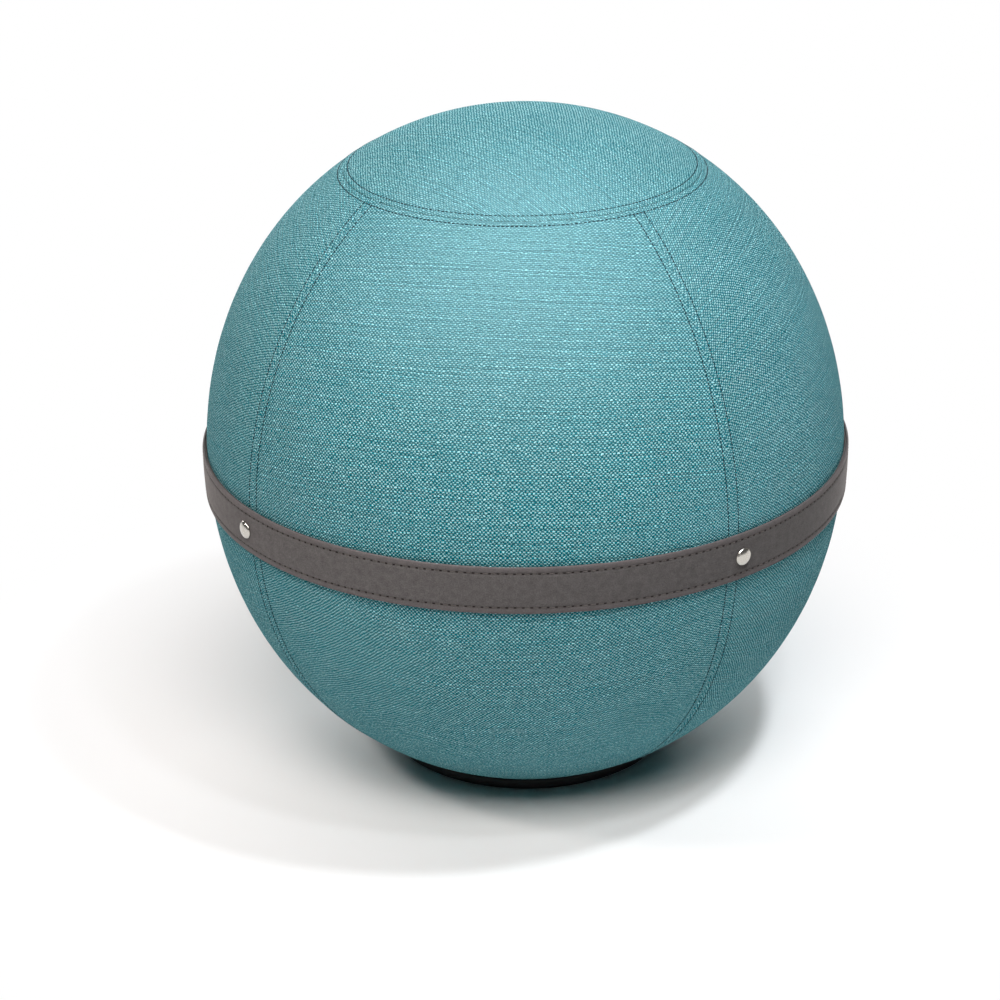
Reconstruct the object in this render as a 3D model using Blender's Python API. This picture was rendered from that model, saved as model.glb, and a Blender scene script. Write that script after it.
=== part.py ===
"""Sitting ball: an air bladder in a four-panel woven cover with a riveted carrying belt.

Metres, +Z up. The origin is on the floor under the middle of the ball, and the front panel
faces -Y. Run it with blender --background --python part.py, or from the text editor.
"""

import functools
import math

import bmesh
import bpy
from mathutils import Matrix, Vector

# Ball and cover
BALL_DIAMETER = 0.550
CROWN_RISE = 0.294
BASE_FLATTENING = 0.021
FULLNESS = 2.05
COVER_THICKNESS = 0.0015
TOP_PANEL_DIAMETER = 0.298
GAP = 0.0003
PANEL_STEPS = 12
PANEL_ROWS = 20
TOP_PANEL_ROWS = 4

# Bindings sewn over the seams inside the cover
BINDING_WIDTH = 0.014
BINDING_THICKNESS = 0.0016

# Belt and rivets
BELT_WIDTH = 0.040
BELT_DROP = 0.0065
BELT_FACE_THICKNESS = 0.0016
BELT_LINING_THICKNESS = 0.0014
BELT_EDGE_ROUNDING = 0.0007
BELT_LINING_INSET = 0.0010
BELT_ROWS = 2
RIVET_CAP_DIAMETER = 0.015
RIVET_CAP_RISE = 0.0030
RIVET_CAP_LIP = 0.0007
RIVET_POST_DIAMETER = 0.0040
RIVET_BESIDE_SEAM = 0.0072
WASHER_DIAMETER = 0.0110
WASHER_THICKNESS = 0.0008
RIVET_SIDES = 12

# Base: rubber foot, ballast ring, bladder and its valve
FOOT_PLATE = 0.0040
FOOT_RIM = 0.0127
FOOT_EDGE_ROUNDING = 0.0020
BALLAST_INNER_DIAMETER = 0.090
BALLAST_WIDTH = 0.050
BALLAST_HEIGHT = 0.0120
BALLAST_EDGE_ROUNDING = 0.0030
BLADDER_WALL = 0.0020
BLADDER_STEPS = 32
BLADDER_ROWS = 14
BLADDER_INNER_ROWS = 10
VALVE_BORE_DIAMETER = 0.0140
VALVE_COLLAR_WALL = 0.0050
VALVE_FLANGE_WIDTH = 0.0060
VALVE_FLANGE_THICKNESS = 0.0015
VALVE_COLLAR_RISE = 0.0060
PLUG_SHANK_LENGTH = 0.0090
PLUG_HEAD_THICKNESS = 0.0025
PLUG_HEAD_OVERLAP = 0.0040
PLUG_TIP_CHAMFER = 0.0017
VALVE_STEPS = 24

# Zip in the lower half of the right rear seam
ZIP_BELOW_BELT = 0.010
ZIP_LENGTH = 0.230
ZIP_SLOT_WIDTH = 0.0120
ZIP_TAPE_THICKNESS = 0.0007
ZIP_TAPE_UNDERLAP = 0.0080
ZIP_COIL_WIDTH = 0.0015
ZIP_COIL_BELOW_FACE = 0.0002
ZIP_GUARD_THICKNESS = 0.0006
ZIP_GUARD_WIDTH = 0.020
ZIP_STOP_LENGTH = 0.0030
ZIP_STOP_WIDTH = 0.0060
ZIP_ROWS = 12
SLIDER_LENGTH = 0.0120
SLIDER_WIDTH = 0.0092
SLIDER_WALL = 0.0012
SLIDER_CLEARANCE = 0.0006
SLIDER_EAR_HEIGHT = 0.0028
SLIDER_EAR_LENGTH = 0.0034
SLIDER_EAR_WALL = 0.0012
PULL_LENGTH = 0.028
PULL_WIDTH = 0.0080
PULL_NECK_WIDTH = 0.0024
PULL_THICKNESS = 0.0014
PULL_PIN_DIAMETER = 0.0012

# Worked out from the sizes above
RADIUS = BALL_DIAMETER / 2
PANEL_TURN = math.pi / 2
STEP_TURN = PANEL_TURN / PANEL_STEPS
ROUND_STEPS = 4 * PANEL_STEPS
FACET_SLOPE = math.tan(STEP_TURN / 2)
FACET_DROP = RADIUS * (1 - math.cos(STEP_TURN / 2))
EQUATOR_HEIGHT = CROWN_RISE - BASE_FLATTENING
COVER_FLOOR = FOOT_PLATE + GAP
BASE_PANEL_TOP = COVER_FLOOR + COVER_THICKNESS
BLADDER_FLOOR = BASE_PANEL_TOP + GAP + BALLAST_HEIGHT + GAP
BINDING_TOP = -COVER_THICKNESS - GAP
BELT_HEIGHT = EQUATOR_HEIGHT - BELT_DROP
BELT_LINING_TOP = GAP + BELT_LINING_THICKNESS
BELT_FACE_BOTTOM = BELT_LINING_TOP + GAP
BELT_FACE_TOP = BELT_FACE_BOTTOM + BELT_FACE_THICKNESS
TOP_SEAM_RADIUS = TOP_PANEL_DIAMETER / 2
ZIP_SEAM = math.radians(135)
TAPE_TOP = -COVER_THICKNESS - GAP
TAPE_BOTTOM = TAPE_TOP - ZIP_TAPE_THICKNESS
COIL_TOP = -ZIP_COIL_BELOW_FACE
ZIP_END_ROOM = ZIP_STOP_LENGTH + 4 * GAP
SEAMS = {
    "front_right": math.radians(45),
    "rear_right": math.radians(135),
    "rear_left": math.radians(-135),
    "front_left": math.radians(-45),
}


def material(name, colour, roughness, metallic=0.0):
    made = bpy.data.materials.new(name)
    made.use_nodes = True
    shader = made.node_tree.nodes["Principled BSDF"]
    shader.inputs["Base Color"].default_value = (*colour, 1.0)
    shader.inputs["Roughness"].default_value = roughness
    shader.inputs["Metallic"].default_value = metallic
    return made


def finished(name, bm, surface, origin=Vector((0, 0, 0))):
    """The mesh as a named object, its faces out, smooth, with its origin at the given point."""
    bmesh.ops.remove_doubles(bm, verts=bm.verts, dist=1e-6)
    bmesh.ops.recalc_face_normals(bm, faces=bm.faces)
    bmesh.ops.translate(bm, verts=bm.verts, vec=-origin)
    mesh = bpy.data.meshes.new(name)
    bm.to_mesh(mesh)
    bm.free()
    mesh.shade_smooth()
    mesh.set_sharp_from_angle(angle=math.radians(35))
    mesh.materials.append(surface)
    made = bpy.data.objects.new(name, mesh)
    made.location = origin
    bpy.context.scene.collection.objects.link(made)
    return made


def as_cutter(made):
    made.hide_render = True
    made.display_type = "WIRE"
    return made


def cut(made, cutter):
    boolean = made.modifiers.new(cutter.name, "BOOLEAN")
    boolean.operation = "DIFFERENCE"
    boolean.object = cutter


def join(made, other):
    boolean = made.modifiers.new(other.name, "BOOLEAN")
    boolean.operation = "UNION"
    boolean.object = as_cutter(other)


def skin(turn, offset=0.0):
    """(radius, height) on the ball's upright section, turn from the crown, offset outwards."""
    across = math.sin(turn)
    up = math.cos(turn)
    share = 2 / FULLNESS
    radius = RADIUS * abs(across) ** share
    height = CROWN_RISE * math.copysign(abs(up) ** share, up)
    out = (radius / RADIUS) ** (FULLNESS - 1) / RADIUS
    rise = math.copysign((abs(height) / CROWN_RISE) ** (FULLNESS - 1), height) / CROWN_RISE
    size = math.hypot(out, rise)
    return radius + offset * out / size, EQUATOR_HEIGHT + height + offset * rise / size


def solve(measure, low, high):
    """The turn between low and high where a rising measure reaches zero."""
    for _ in range(60):
        middle = (low + high) / 2
        if measure(middle) < 0:
            low = middle
        else:
            high = middle
    return (low + high) / 2


def turn_at_height(height, offset=0.0):
    return solve(lambda turn: height - skin(turn, offset)[1], 0.0, math.pi)


def turn_at_radius(radius, offset=0.0):
    """On the upper half."""
    return solve(lambda turn: skin(turn, offset)[0] - radius, 0.0, math.pi / 2)


def lower_turn_at_radius(radius, offset=0.0):
    return solve(lambda turn: radius - skin(turn, offset)[0], math.pi / 2, math.pi)


def turn_along(start, length):
    """The turn that lies this far down the skin from start."""
    pace = 1e-3
    turn = start
    gone = 0.0
    while True:
        here = skin(turn)
        there = skin(turn + pace)
        stretch = math.hypot(there[0] - here[0], there[1] - here[1])
        if gone + stretch >= length:
            return turn + pace * (length - gone) / stretch
        gone += stretch
        turn += pace


def spread(first, last, count):
    return [first + (last - first) * i / count for i in range(count + 1)]


def around(radius, azimuth, height):
    """Azimuth 0 faces -Y and grows towards +X."""
    return Vector((radius * math.sin(azimuth), -radius * math.cos(azimuth), height))


def turned(name, section, surface, start=0.0, sweep=2 * math.pi, steps=ROUND_STEPS):
    """The closed (radius, height) section spun about the ball's axis, whole or in part."""
    bm = bmesh.new()
    verts = [bm.verts.new(around(radius, start, height)) for radius, height in section]
    loop = [bm.edges.new((a, b)) for a, b in zip(verts, verts[1:] + verts[:1])]
    whole = sweep >= 2 * math.pi
    spun = bmesh.ops.spin(
        bm, geom=loop, cent=(0, 0, 0), axis=(0, 0, 1), dvec=(0, 0, 0),
        angle=sweep, steps=steps, use_merge=whole,
    )
    if not whole:
        last = [item for item in spun["geom_last"] if isinstance(item, bmesh.types.BMVert)]
        bm.faces.new(verts)
        bmesh.ops.contextual_create(
            bm, geom=[edge for edge in bm.edges if set(edge.verts) <= set(last)]
        )
    else:
        on_axis = [vert for vert in bm.verts if vert.co.xy.length < 1e-7]
        for vert in on_axis:
            vert.co.xy = (0, 0)
    return finished(name, bm, surface)


class Place:
    """Axes on the ball's skin: down the skin, across it and out of it."""

    def __init__(self, azimuth, turn):
        nudge = 1e-5
        radius, height = skin(turn)
        outer = skin(turn, 1.0)
        ahead = skin(turn + nudge)
        self.point = around(radius, azimuth, height)
        self.out = (around(*_polar(outer, azimuth)) - self.point).normalized()
        self.down = (around(*_polar(ahead, azimuth)) - self.point).normalized()
        self.across = Vector((math.cos(azimuth), math.sin(azimuth), 0))

    def at(self, down, across, out):
        return self.point + down * self.down + across * self.across + out * self.out

    def matrix(self):
        axes = Matrix((self.down, self.across, self.out)).transposed().to_4x4()
        return Matrix.Translation(self.point) @ axes


def _polar(point, azimuth):
    return point[0], azimuth, point[1]


@functools.cache
def panel_turns():
    """Rows of the side panels on their outer face, from the top seam to the base."""
    seam = turn_at_radius(TOP_SEAM_RADIUS + GAP / 2)
    binding = turn_at_radius(TOP_SEAM_RADIUS + BINDING_WIDTH / 2)
    floor = turn_at_height(COVER_FLOOR)
    return [seam] + spread(binding, floor, PANEL_ROWS)


def on_panel(turn, offset):
    """(radius, height) on the side panels' flat facets, which lie a little inside the skin."""
    rows = panel_turns()
    row = max(i for i in range(len(rows) - 1) if i == 0 or rows[i] <= turn)
    share = (turn - rows[row]) / (rows[row + 1] - rows[row])
    upper = Vector(skin(rows[row], offset))
    return upper.lerp(Vector(skin(rows[row + 1], offset)), share)


def row_dip():
    """How far a side panel's flat facet dips inside the skin between two rows."""
    rows = panel_turns()
    return CROWN_RISE * (1 - math.cos((rows[-1] - rows[1]) / PANEL_ROWS / 2))


def bladder_skin():
    """Offset of the bladder's face: inside the bindings, clear of the panels' flat facets."""
    fall = FACET_SLOPE * max(BINDING_WIDTH, ZIP_GUARD_WIDTH) / 2
    return BINDING_TOP - BINDING_THICKNESS - row_dip() - fall - GAP


def ribbon(name, azimuth, turns, section, surface, lie=on_panel):
    """A strip down a seam. section(i) gives the (across, out) corners at the i-th turn; its
    sides fall away with the panels' flat facets, so that the strip lies flat under them."""
    bm = bmesh.new()
    rings = []
    for i, turn in enumerate(turns):
        ring = []
        for across, out in section(i):
            radius, height = lie(turn, out - abs(across) * FACET_SLOPE)
            sideways = Vector((math.cos(azimuth), math.sin(azimuth), 0)) * across
            ring.append(bm.verts.new(around(radius, azimuth, height) + sideways))
        rings.append(ring)
    for ring, following in zip(rings, rings[1:]):
        for j in range(len(ring)):
            k = (j + 1) % len(ring)
            bm.faces.new((ring[j], ring[k], following[k], following[j]))
    bm.faces.new(rings[0])
    bm.faces.new(rings[-1])
    return finished(name, bm, surface)


def block(bm, place, down, across, out):
    """A box between pairs of distances along the place's axes."""
    size = Vector((down[1] - down[0], across[1] - across[0], out[1] - out[0]))
    middle = Vector((sum(down), sum(across), sum(out))) / 2
    made = bmesh.ops.create_cube(bm, size=1.0)
    bmesh.ops.scale(bm, vec=size, verts=made["verts"])
    bmesh.ops.translate(bm, vec=middle, verts=made["verts"])
    bmesh.ops.transform(bm, matrix=place.matrix(), verts=made["verts"])


def push_out(bm, face, vector):
    """A solid between the face and its copy this far away."""
    raised = bmesh.ops.extrude_face_region(bm, geom=[face])["geom"]
    moved = [item for item in raised if isinstance(item, bmesh.types.BMVert)]
    bmesh.ops.translate(bm, vec=vector, verts=moved)


def cylinder(name, centre, axis, radius, length, sides, surface, origin=Vector((0, 0, 0))):
    bm = bmesh.new()
    turn = Vector((0, 0, 1)).rotation_difference(axis).to_matrix().to_4x4()
    bmesh.ops.create_cone(
        bm, cap_ends=True, segments=sides, radius1=radius, radius2=radius, depth=length,
        matrix=Matrix.Translation(centre) @ turn,
    )
    return finished(name, bm, surface, origin)


def side_panels(fabric):
    """Four gores cut square at the top seam, resting on the foot at the base."""
    outer = panel_turns()
    inner = list(outer)
    inner[0] = turn_at_radius(TOP_SEAM_RADIUS + GAP / 2, -COVER_THICKNESS)
    inner[-1] = turn_at_height(COVER_FLOOR, -COVER_THICKNESS)
    section = [skin(turn) for turn in outer]
    section += [skin(turn, -COVER_THICKNESS) for turn in reversed(inner)]
    narrowest = min(radius for radius, height in section)
    seam_turn = GAP / narrowest
    panels = {}
    for i, side in enumerate(("front", "right", "back", "left")):
        start = i * PANEL_TURN - PANEL_TURN / 2 + seam_turn / 2
        panels[side] = turned(
            "panel_" + side, section, fabric, start, PANEL_TURN - seam_turn, PANEL_STEPS
        )
    return panels


def top_panel(fabric):
    """The round seat panel, cut square at its rim so that it can sink inside the others."""
    rim = turn_at_radius(TOP_SEAM_RADIUS - GAP / 2)
    rim_below = turn_at_radius(TOP_SEAM_RADIUS - GAP / 2, -COVER_THICKNESS)
    binding = turn_at_radius(TOP_SEAM_RADIUS - BINDING_WIDTH / 2)
    rows = spread(0.0, binding, TOP_PANEL_ROWS)
    section = [skin(turn) for turn in rows + [rim]]
    section += [skin(turn, -COVER_THICKNESS) for turn in [rim_below] + rows[::-1]]
    turned("top_panel", section, fabric)


def top_seam_binding(tape):
    """Ring of tape over the top seam's allowance; it goes down with the seat."""
    turns = [
        turn_at_radius(TOP_SEAM_RADIUS - BINDING_WIDTH / 2),
        turn_at_radius(TOP_SEAM_RADIUS),
        turn_at_radius(TOP_SEAM_RADIUS + BINDING_WIDTH / 2),
    ]
    section = [skin(turn, BINDING_TOP) for turn in turns]
    section += [skin(turn, BINDING_TOP - BINDING_THICKNESS) for turn in turns[::-1]]
    turned("top_seam_binding", section, tape)


def seam_bindings(tape, zip_top):
    """Tape over each side seam's allowance, notched where a rivet's washer lies beside it."""
    belt = turn_at_height(BELT_HEIGHT)
    room = (WASHER_DIAMETER / 2 + 4 * GAP) / RADIUS
    clear_of_top = turn_at_radius(TOP_SEAM_RADIUS + BINDING_WIDTH / 2 + 2 * GAP)
    lowest = turn_at_height(BLADDER_FLOOR + BLADDER_WALL)
    notch_side = RIVET_BESIDE_SEAM - WASHER_DIAMETER / 2 - 2 * GAP
    for seam, azimuth in SEAMS.items():
        last = zip_top - ZIP_END_ROOM / RADIUS if azimuth == ZIP_SEAM else lowest
        notch = [belt - room - GAP / RADIUS, belt - room, belt + room, belt + room + GAP / RADIUS]
        rows = [turn for turn in panel_turns() if clear_of_top < turn < last]
        rows = [turn for turn in rows if not notch[0] <= turn <= notch[-1]]
        turns = sorted({clear_of_top, last, *rows, *notch})
        towards_side = 1 if seam in ("front_right", "rear_left") else -1

        def corners(i, turns=turns, notch=notch, towards_side=towards_side):
            half = BINDING_WIDTH / 2
            narrow = notch_side if notch[1] <= turns[i] <= notch[2] else half
            low, high = (-half, narrow) if towards_side > 0 else (-narrow, half)
            bottom = BINDING_TOP - BINDING_THICKNESS
            return [
                (low, BINDING_TOP), (0, BINDING_TOP), (high, BINDING_TOP),
                (high, bottom), (0, bottom), (low, bottom),
            ]

        ribbon("seam_binding_" + seam, azimuth, turns, corners, tape)


def belt(name, width, bottom, top, rounding, gap_azimuth, surface):
    """A strap round the ball, its ends butted at gap_azimuth."""
    upper = turn_at_height(BELT_HEIGHT + width / 2)
    lower = turn_at_height(BELT_HEIGHT - width / 2)
    shrink = rounding / RADIUS
    section = [skin(upper, top - rounding)]
    section += [skin(turn, top) for turn in spread(upper + shrink, lower - shrink, BELT_ROWS)]
    section += [skin(lower, top - rounding)]
    section += [skin(turn, bottom) for turn in spread(lower, upper, BELT_ROWS)]
    butt = GAP / RADIUS
    start = gap_azimuth + butt / 2
    return turned(name, section, surface, start, 2 * math.pi - butt, ROUND_STEPS)


def rivets(panels, straps, nickel):
    """Domed caps on posts through belt and cover, each clenched over a washer inside."""
    belt_turn = turn_at_height(BELT_HEIGHT)
    beside = RIVET_BESIDE_SEAM / RADIUS
    cap_base = BELT_FACE_TOP + GAP
    washer_top = -COVER_THICKNESS - FACET_DROP - row_dip() - GAP
    post_end = washer_top - WASHER_THICKNESS - GAP
    for seam, azimuth in SEAMS.items():
        side = "right" if azimuth > 0 else "left"
        towards = 1 if seam in ("front_right", "rear_left") else -1
        place = Place(azimuth + towards * beside, belt_turn)
        hole = cylinder(
            "rivet_hole_" + seam, place.at(0, 0, (cap_base + post_end) / 2), place.out,
            RIVET_POST_DIAMETER / 2 + GAP, 2 * (cap_base - post_end), RIVET_SIDES, nickel,
        )
        as_cutter(hole)
        for pierced in (panels[side], *straps):
            cut(pierced, hole)
        rivet_cap("rivet_cap_" + seam, place, cap_base, post_end, nickel)
        washer = cylinder(
            "rivet_washer_" + seam, place.at(0, 0, washer_top - WASHER_THICKNESS / 2),
            place.out, WASHER_DIAMETER / 2, WASHER_THICKNESS, RIVET_SIDES, nickel,
        )
        cut(washer, hole)


def rivet_cap(name, place, base, post_end, nickel):
    """A pressed dome and its post, spun about the rivet's own axis."""
    radius = RIVET_CAP_DIAMETER / 2
    crown = RIVET_CAP_RISE - RIVET_CAP_LIP
    dome = [
        (radius * math.cos(lift), base + RIVET_CAP_LIP + crown * math.sin(lift))
        for lift in spread(0.0, math.pi / 2, 4)
    ]
    dome[-1] = (0.0, base + RIVET_CAP_RISE)
    post = RIVET_POST_DIAMETER / 2
    section = [(0.0, post_end), (post, post_end), (post, base), (radius, base), *dome]
    bm = bmesh.new()
    verts = [bm.verts.new((across, 0, out)) for across, out in section]
    edges = [bm.edges.new(pair) for pair in zip(verts, verts[1:])]
    bmesh.ops.spin(
        bm, geom=edges, cent=(0, 0, 0), axis=(0, 0, 1), dvec=(0, 0, 0),
        angle=2 * math.pi, steps=RIVET_SIDES, use_merge=True,
    )
    bmesh.ops.transform(bm, matrix=place.matrix(), verts=bm.verts)
    finished(name, bm, nickel)


def base_panel(fabric):
    """Flat round panel that closes the cover over the foot."""
    radius = skin(turn_at_height(COVER_FLOOR, -COVER_THICKNESS), -COVER_THICKNESS)[0] - GAP
    turned(
        "base_panel",
        [(0, COVER_FLOOR), (radius, COVER_FLOOR), (radius, BASE_PANEL_TOP), (0, BASE_PANEL_TOP)],
        fabric,
    )


def foot(rubber):
    """Non-slip rubber foot: a flat plate with a rim that follows the ball's underside."""
    plate = turn_at_height(FOOT_PLATE, GAP)
    radius = skin(plate, GAP)[0] + FOOT_RIM
    round_off = FOOT_EDGE_ROUNDING
    rim = lower_turn_at_radius(radius - round_off, GAP)
    dish = [skin(turn, GAP) for turn in spread(plate, rim, 3)]
    rim_top = dish[-1][1]
    section = [(0, FOOT_PLATE), *dish]
    section += [(radius, rim_top - round_off), (radius, round_off), (radius - round_off, 0), (0, 0)]
    turned("non_slip_foot", section, rubber)


def ballast_ring(steel):
    """Weight that keeps the ball upright, lying on the base panel under the bladder."""
    inside = BALLAST_INNER_DIAMETER / 2
    outside = inside + BALLAST_WIDTH
    low = BASE_PANEL_TOP + GAP
    high = low + BALLAST_HEIGHT
    edge = BALLAST_EDGE_ROUNDING
    section = [
        (inside, low), (outside - edge, low), (outside, low + edge), (outside, high - edge),
        (outside - edge, high), (inside + edge, high), (inside, high - edge),
    ]
    turned("ballast_ring", section, steel, steps=VALVE_STEPS)


def bladder(vinyl, collar_radius):
    """Inflated vinyl ball, flattened over the ballast, with a hole for its valve."""
    hole = collar_radius + GAP
    outer_skin = bladder_skin()
    inner_skin = outer_skin - BLADDER_WALL
    top_floor = BLADDER_FLOOR + BLADDER_WALL
    outer = spread(0.0, turn_at_height(BLADDER_FLOOR, outer_skin), BLADDER_ROWS)
    inner = spread(0.0, turn_at_height(top_floor, inner_skin), BLADDER_INNER_ROWS)
    section = [skin(turn, outer_skin) for turn in outer]
    section += [(hole, BLADDER_FLOOR), (hole, top_floor)]
    section += [skin(turn, inner_skin) for turn in inner[::-1]]
    turned("bladder", section, vinyl, steps=BLADDER_STEPS)


def valve(vinyl, soft_vinyl, bore, collar_radius):
    """Moulded collar welded into the bladder, and the plug that stops it."""
    flange_low = BLADDER_FLOOR + BLADDER_WALL + GAP
    flange_high = flange_low + VALVE_FLANGE_THICKNESS
    top = flange_high + VALVE_COLLAR_RISE
    flange = collar_radius + VALVE_FLANGE_WIDTH
    section = [
        (bore, BLADDER_FLOOR), (collar_radius, BLADDER_FLOOR), (collar_radius, flange_low),
        (flange, flange_low), (flange, flange_high), (collar_radius, flange_high),
        (collar_radius, top), (bore, top),
    ]
    turned("valve_collar", section, vinyl, steps=VALVE_STEPS)
    shank = bore - GAP
    head_top = BLADDER_FLOOR - GAP
    head_low = head_top - PLUG_HEAD_THICKNESS
    tip = head_top + PLUG_SHANK_LENGTH
    section = [
        (0, head_low), (bore + PLUG_HEAD_OVERLAP, head_low), (bore + PLUG_HEAD_OVERLAP, head_top),
        (shank, head_top), (shank, tip - PLUG_TIP_CHAMFER), (shank - PLUG_TIP_CHAMFER, tip), (0, tip),
    ]
    turned("valve_plug", section, soft_vinyl, steps=VALVE_STEPS)


def zip_chain(tape, nylon, steel, panels, top, bottom):
    """Tapes under the slot's edges, the two coils between them, a guard inside and end stops."""
    turns = spread(top, bottom, ZIP_ROWS)
    slot_half = ZIP_SLOT_WIDTH / 2
    slot_end = ZIP_END_ROOM / RADIUS
    slot = ribbon(
        "zip_slot", ZIP_SEAM, spread(top - slot_end, bottom + slot_end, ZIP_ROWS),
        lambda i: [
            (-slot_half, COVER_THICKNESS * 2), (slot_half, COVER_THICKNESS * 2),
            (slot_half, -COVER_THICKNESS * 3), (-slot_half, -COVER_THICKNESS * 3),
        ],
        tape,
    )
    as_cutter(slot)
    for side in ("right", "back"):
        cut(panels[side], slot)
    coil_inner = GAP / 2
    coil_outer = coil_inner + ZIP_COIL_WIDTH
    tape_inner = coil_outer + GAP
    tape_outer = slot_half + ZIP_TAPE_UNDERLAP
    for hand, sign in (("right", -1), ("left", 1)):
        ribbon(
            "zip_tape_" + hand, ZIP_SEAM, turns,
            lambda i, sign=sign: [
                (sign * tape_inner, TAPE_TOP), (sign * tape_outer, TAPE_TOP),
                (sign * tape_outer, TAPE_BOTTOM), (sign * tape_inner, TAPE_BOTTOM),
            ],
            tape,
        )
        ribbon(
            "zip_coil_" + hand, ZIP_SEAM, turns,
            lambda i, sign=sign: [
                (sign * coil_inner, COIL_TOP), (sign * coil_outer, COIL_TOP),
                (sign * coil_outer, TAPE_BOTTOM), (sign * coil_inner, TAPE_BOTTOM),
            ],
            nylon, skin,
        )
    guard_top = TAPE_BOTTOM - GAP
    guard_half = ZIP_GUARD_WIDTH / 2
    ribbon(
        "zip_guard", ZIP_SEAM, turns,
        lambda i: [
            (-guard_half, guard_top), (0, guard_top), (guard_half, guard_top),
            (guard_half, guard_top - ZIP_GUARD_THICKNESS), (0, guard_top - ZIP_GUARD_THICKNESS),
            (-guard_half, guard_top - ZIP_GUARD_THICKNESS),
        ],
        tape,
    )
    for name, turn, way in (("zip_top_stop", top, -1), ("zip_bottom_stop", bottom, 1)):
        bm = bmesh.new()
        reach = sorted((way * GAP, way * (GAP + ZIP_STOP_LENGTH)))
        half = ZIP_STOP_WIDTH / 2
        block(bm, Place(ZIP_SEAM, turn), reach, (-half, half), (TAPE_BOTTOM, COIL_TOP))
        finished(name, bm, steel)


def zip_circle(top, bottom):
    """Centre (radius, height) of the circle through the zip's ends and its middle."""
    ends = [Vector(skin(turn)) for turn in (top, (top + bottom) / 2, bottom)]
    first, middle, last = ends
    a = middle - first
    b = last - first
    scale = 2 * (a.x * b.y - a.y * b.x)
    across = (b.y * a.length_squared - a.y * b.length_squared) / scale
    up = (a.x * b.length_squared - b.x * a.length_squared) / scale
    return first.x + across, first.y + up


def zip_slider(steel, top, bottom):
    """Slider over the coils, parked at the top, with a pull hinged between its ears."""
    rest = turn_along(top, GAP + SLIDER_LENGTH / 2 + SLIDER_CLEARANCE)
    place = Place(ZIP_SEAM, rest)
    radius, height = zip_circle(top, bottom)
    axis_point = around(radius, ZIP_SEAM, height)
    half = SLIDER_LENGTH / 2
    side = SLIDER_WIDTH / 2
    roof = COIL_TOP + SLIDER_CLEARANCE
    roof_top = roof + SLIDER_WALL
    skirt = TAPE_TOP + SLIDER_CLEARANCE
    ear_inside = PULL_NECK_WIDTH / 2 + GAP
    ear_outside = ear_inside + SLIDER_EAR_WALL
    ear_top = roof_top + SLIDER_EAR_HEIGHT
    inside = side - SLIDER_WALL
    channel = [
        (-side, skirt), (-side, roof_top), (side, roof_top), (side, skirt),
        (inside, skirt), (inside, roof), (-inside, roof), (-inside, skirt),
    ]
    bm = bmesh.new()
    end = bm.faces.new([bm.verts.new(place.at(-half, across, out)) for across, out in channel])
    push_out(bm, end, place.down * SLIDER_LENGTH)
    slider = finished("zip_slider", bm, steel, axis_point)
    ear_half = SLIDER_EAR_LENGTH / 2
    for name, sign in (("slider_ear_a", -1), ("slider_ear_b", 1)):
        bm = bmesh.new()
        walls = sorted((sign * ear_inside, sign * ear_outside))
        block(bm, place, (-ear_half, ear_half), walls, (roof_top - SLIDER_WALL / 2, ear_top))
        join(slider, finished(name, bm, steel, axis_point))
    pin_height = roof_top + SLIDER_EAR_HEIGHT / 2
    pin_point = place.at(0, 0, pin_height)
    pin_hole = cylinder(
        "pull_pin_hole", pin_point, place.across, PULL_PIN_DIAMETER / 2 + GAP,
        4 * ear_outside, RIVET_SIDES // 2, steel, pin_point,
    )
    cut(slider, as_cutter(pin_hole))
    zip_pull(steel, place, pin_point, pin_height, ear_outside)


def zip_pull(steel, place, pin_point, pin_height, ear_outside):
    """Flat tab on a cross pin, hanging down the zip."""
    low = pin_height - PULL_THICKNESS / 2
    high = pin_height + PULL_THICKNESS / 2
    neck = PULL_NECK_WIDTH / 2
    neck_end = SLIDER_EAR_LENGTH
    tab = PULL_WIDTH / 2
    bm = bmesh.new()
    outline = [
        (-PULL_THICKNESS / 2, -neck), (neck_end, -neck), (neck_end + tab / 2, -tab),
        (PULL_LENGTH - tab / 2, -tab), (PULL_LENGTH, -tab / 2), (PULL_LENGTH, tab / 2),
        (PULL_LENGTH - tab / 2, tab), (neck_end + tab / 2, tab), (neck_end, neck),
        (-PULL_THICKNESS / 2, neck),
    ]
    face = bm.faces.new([bm.verts.new(place.at(down, across, low)) for down, across in outline])
    push_out(bm, face, place.out * (high - low))
    pull = finished("zip_pull", bm, steel, pin_point)
    pin = cylinder(
        "pull_pin", pin_point, place.across, PULL_PIN_DIAMETER / 2, 2 * ear_outside,
        RIVET_SIDES // 2, steel, pin_point,
    )
    join(pull, pin)


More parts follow.
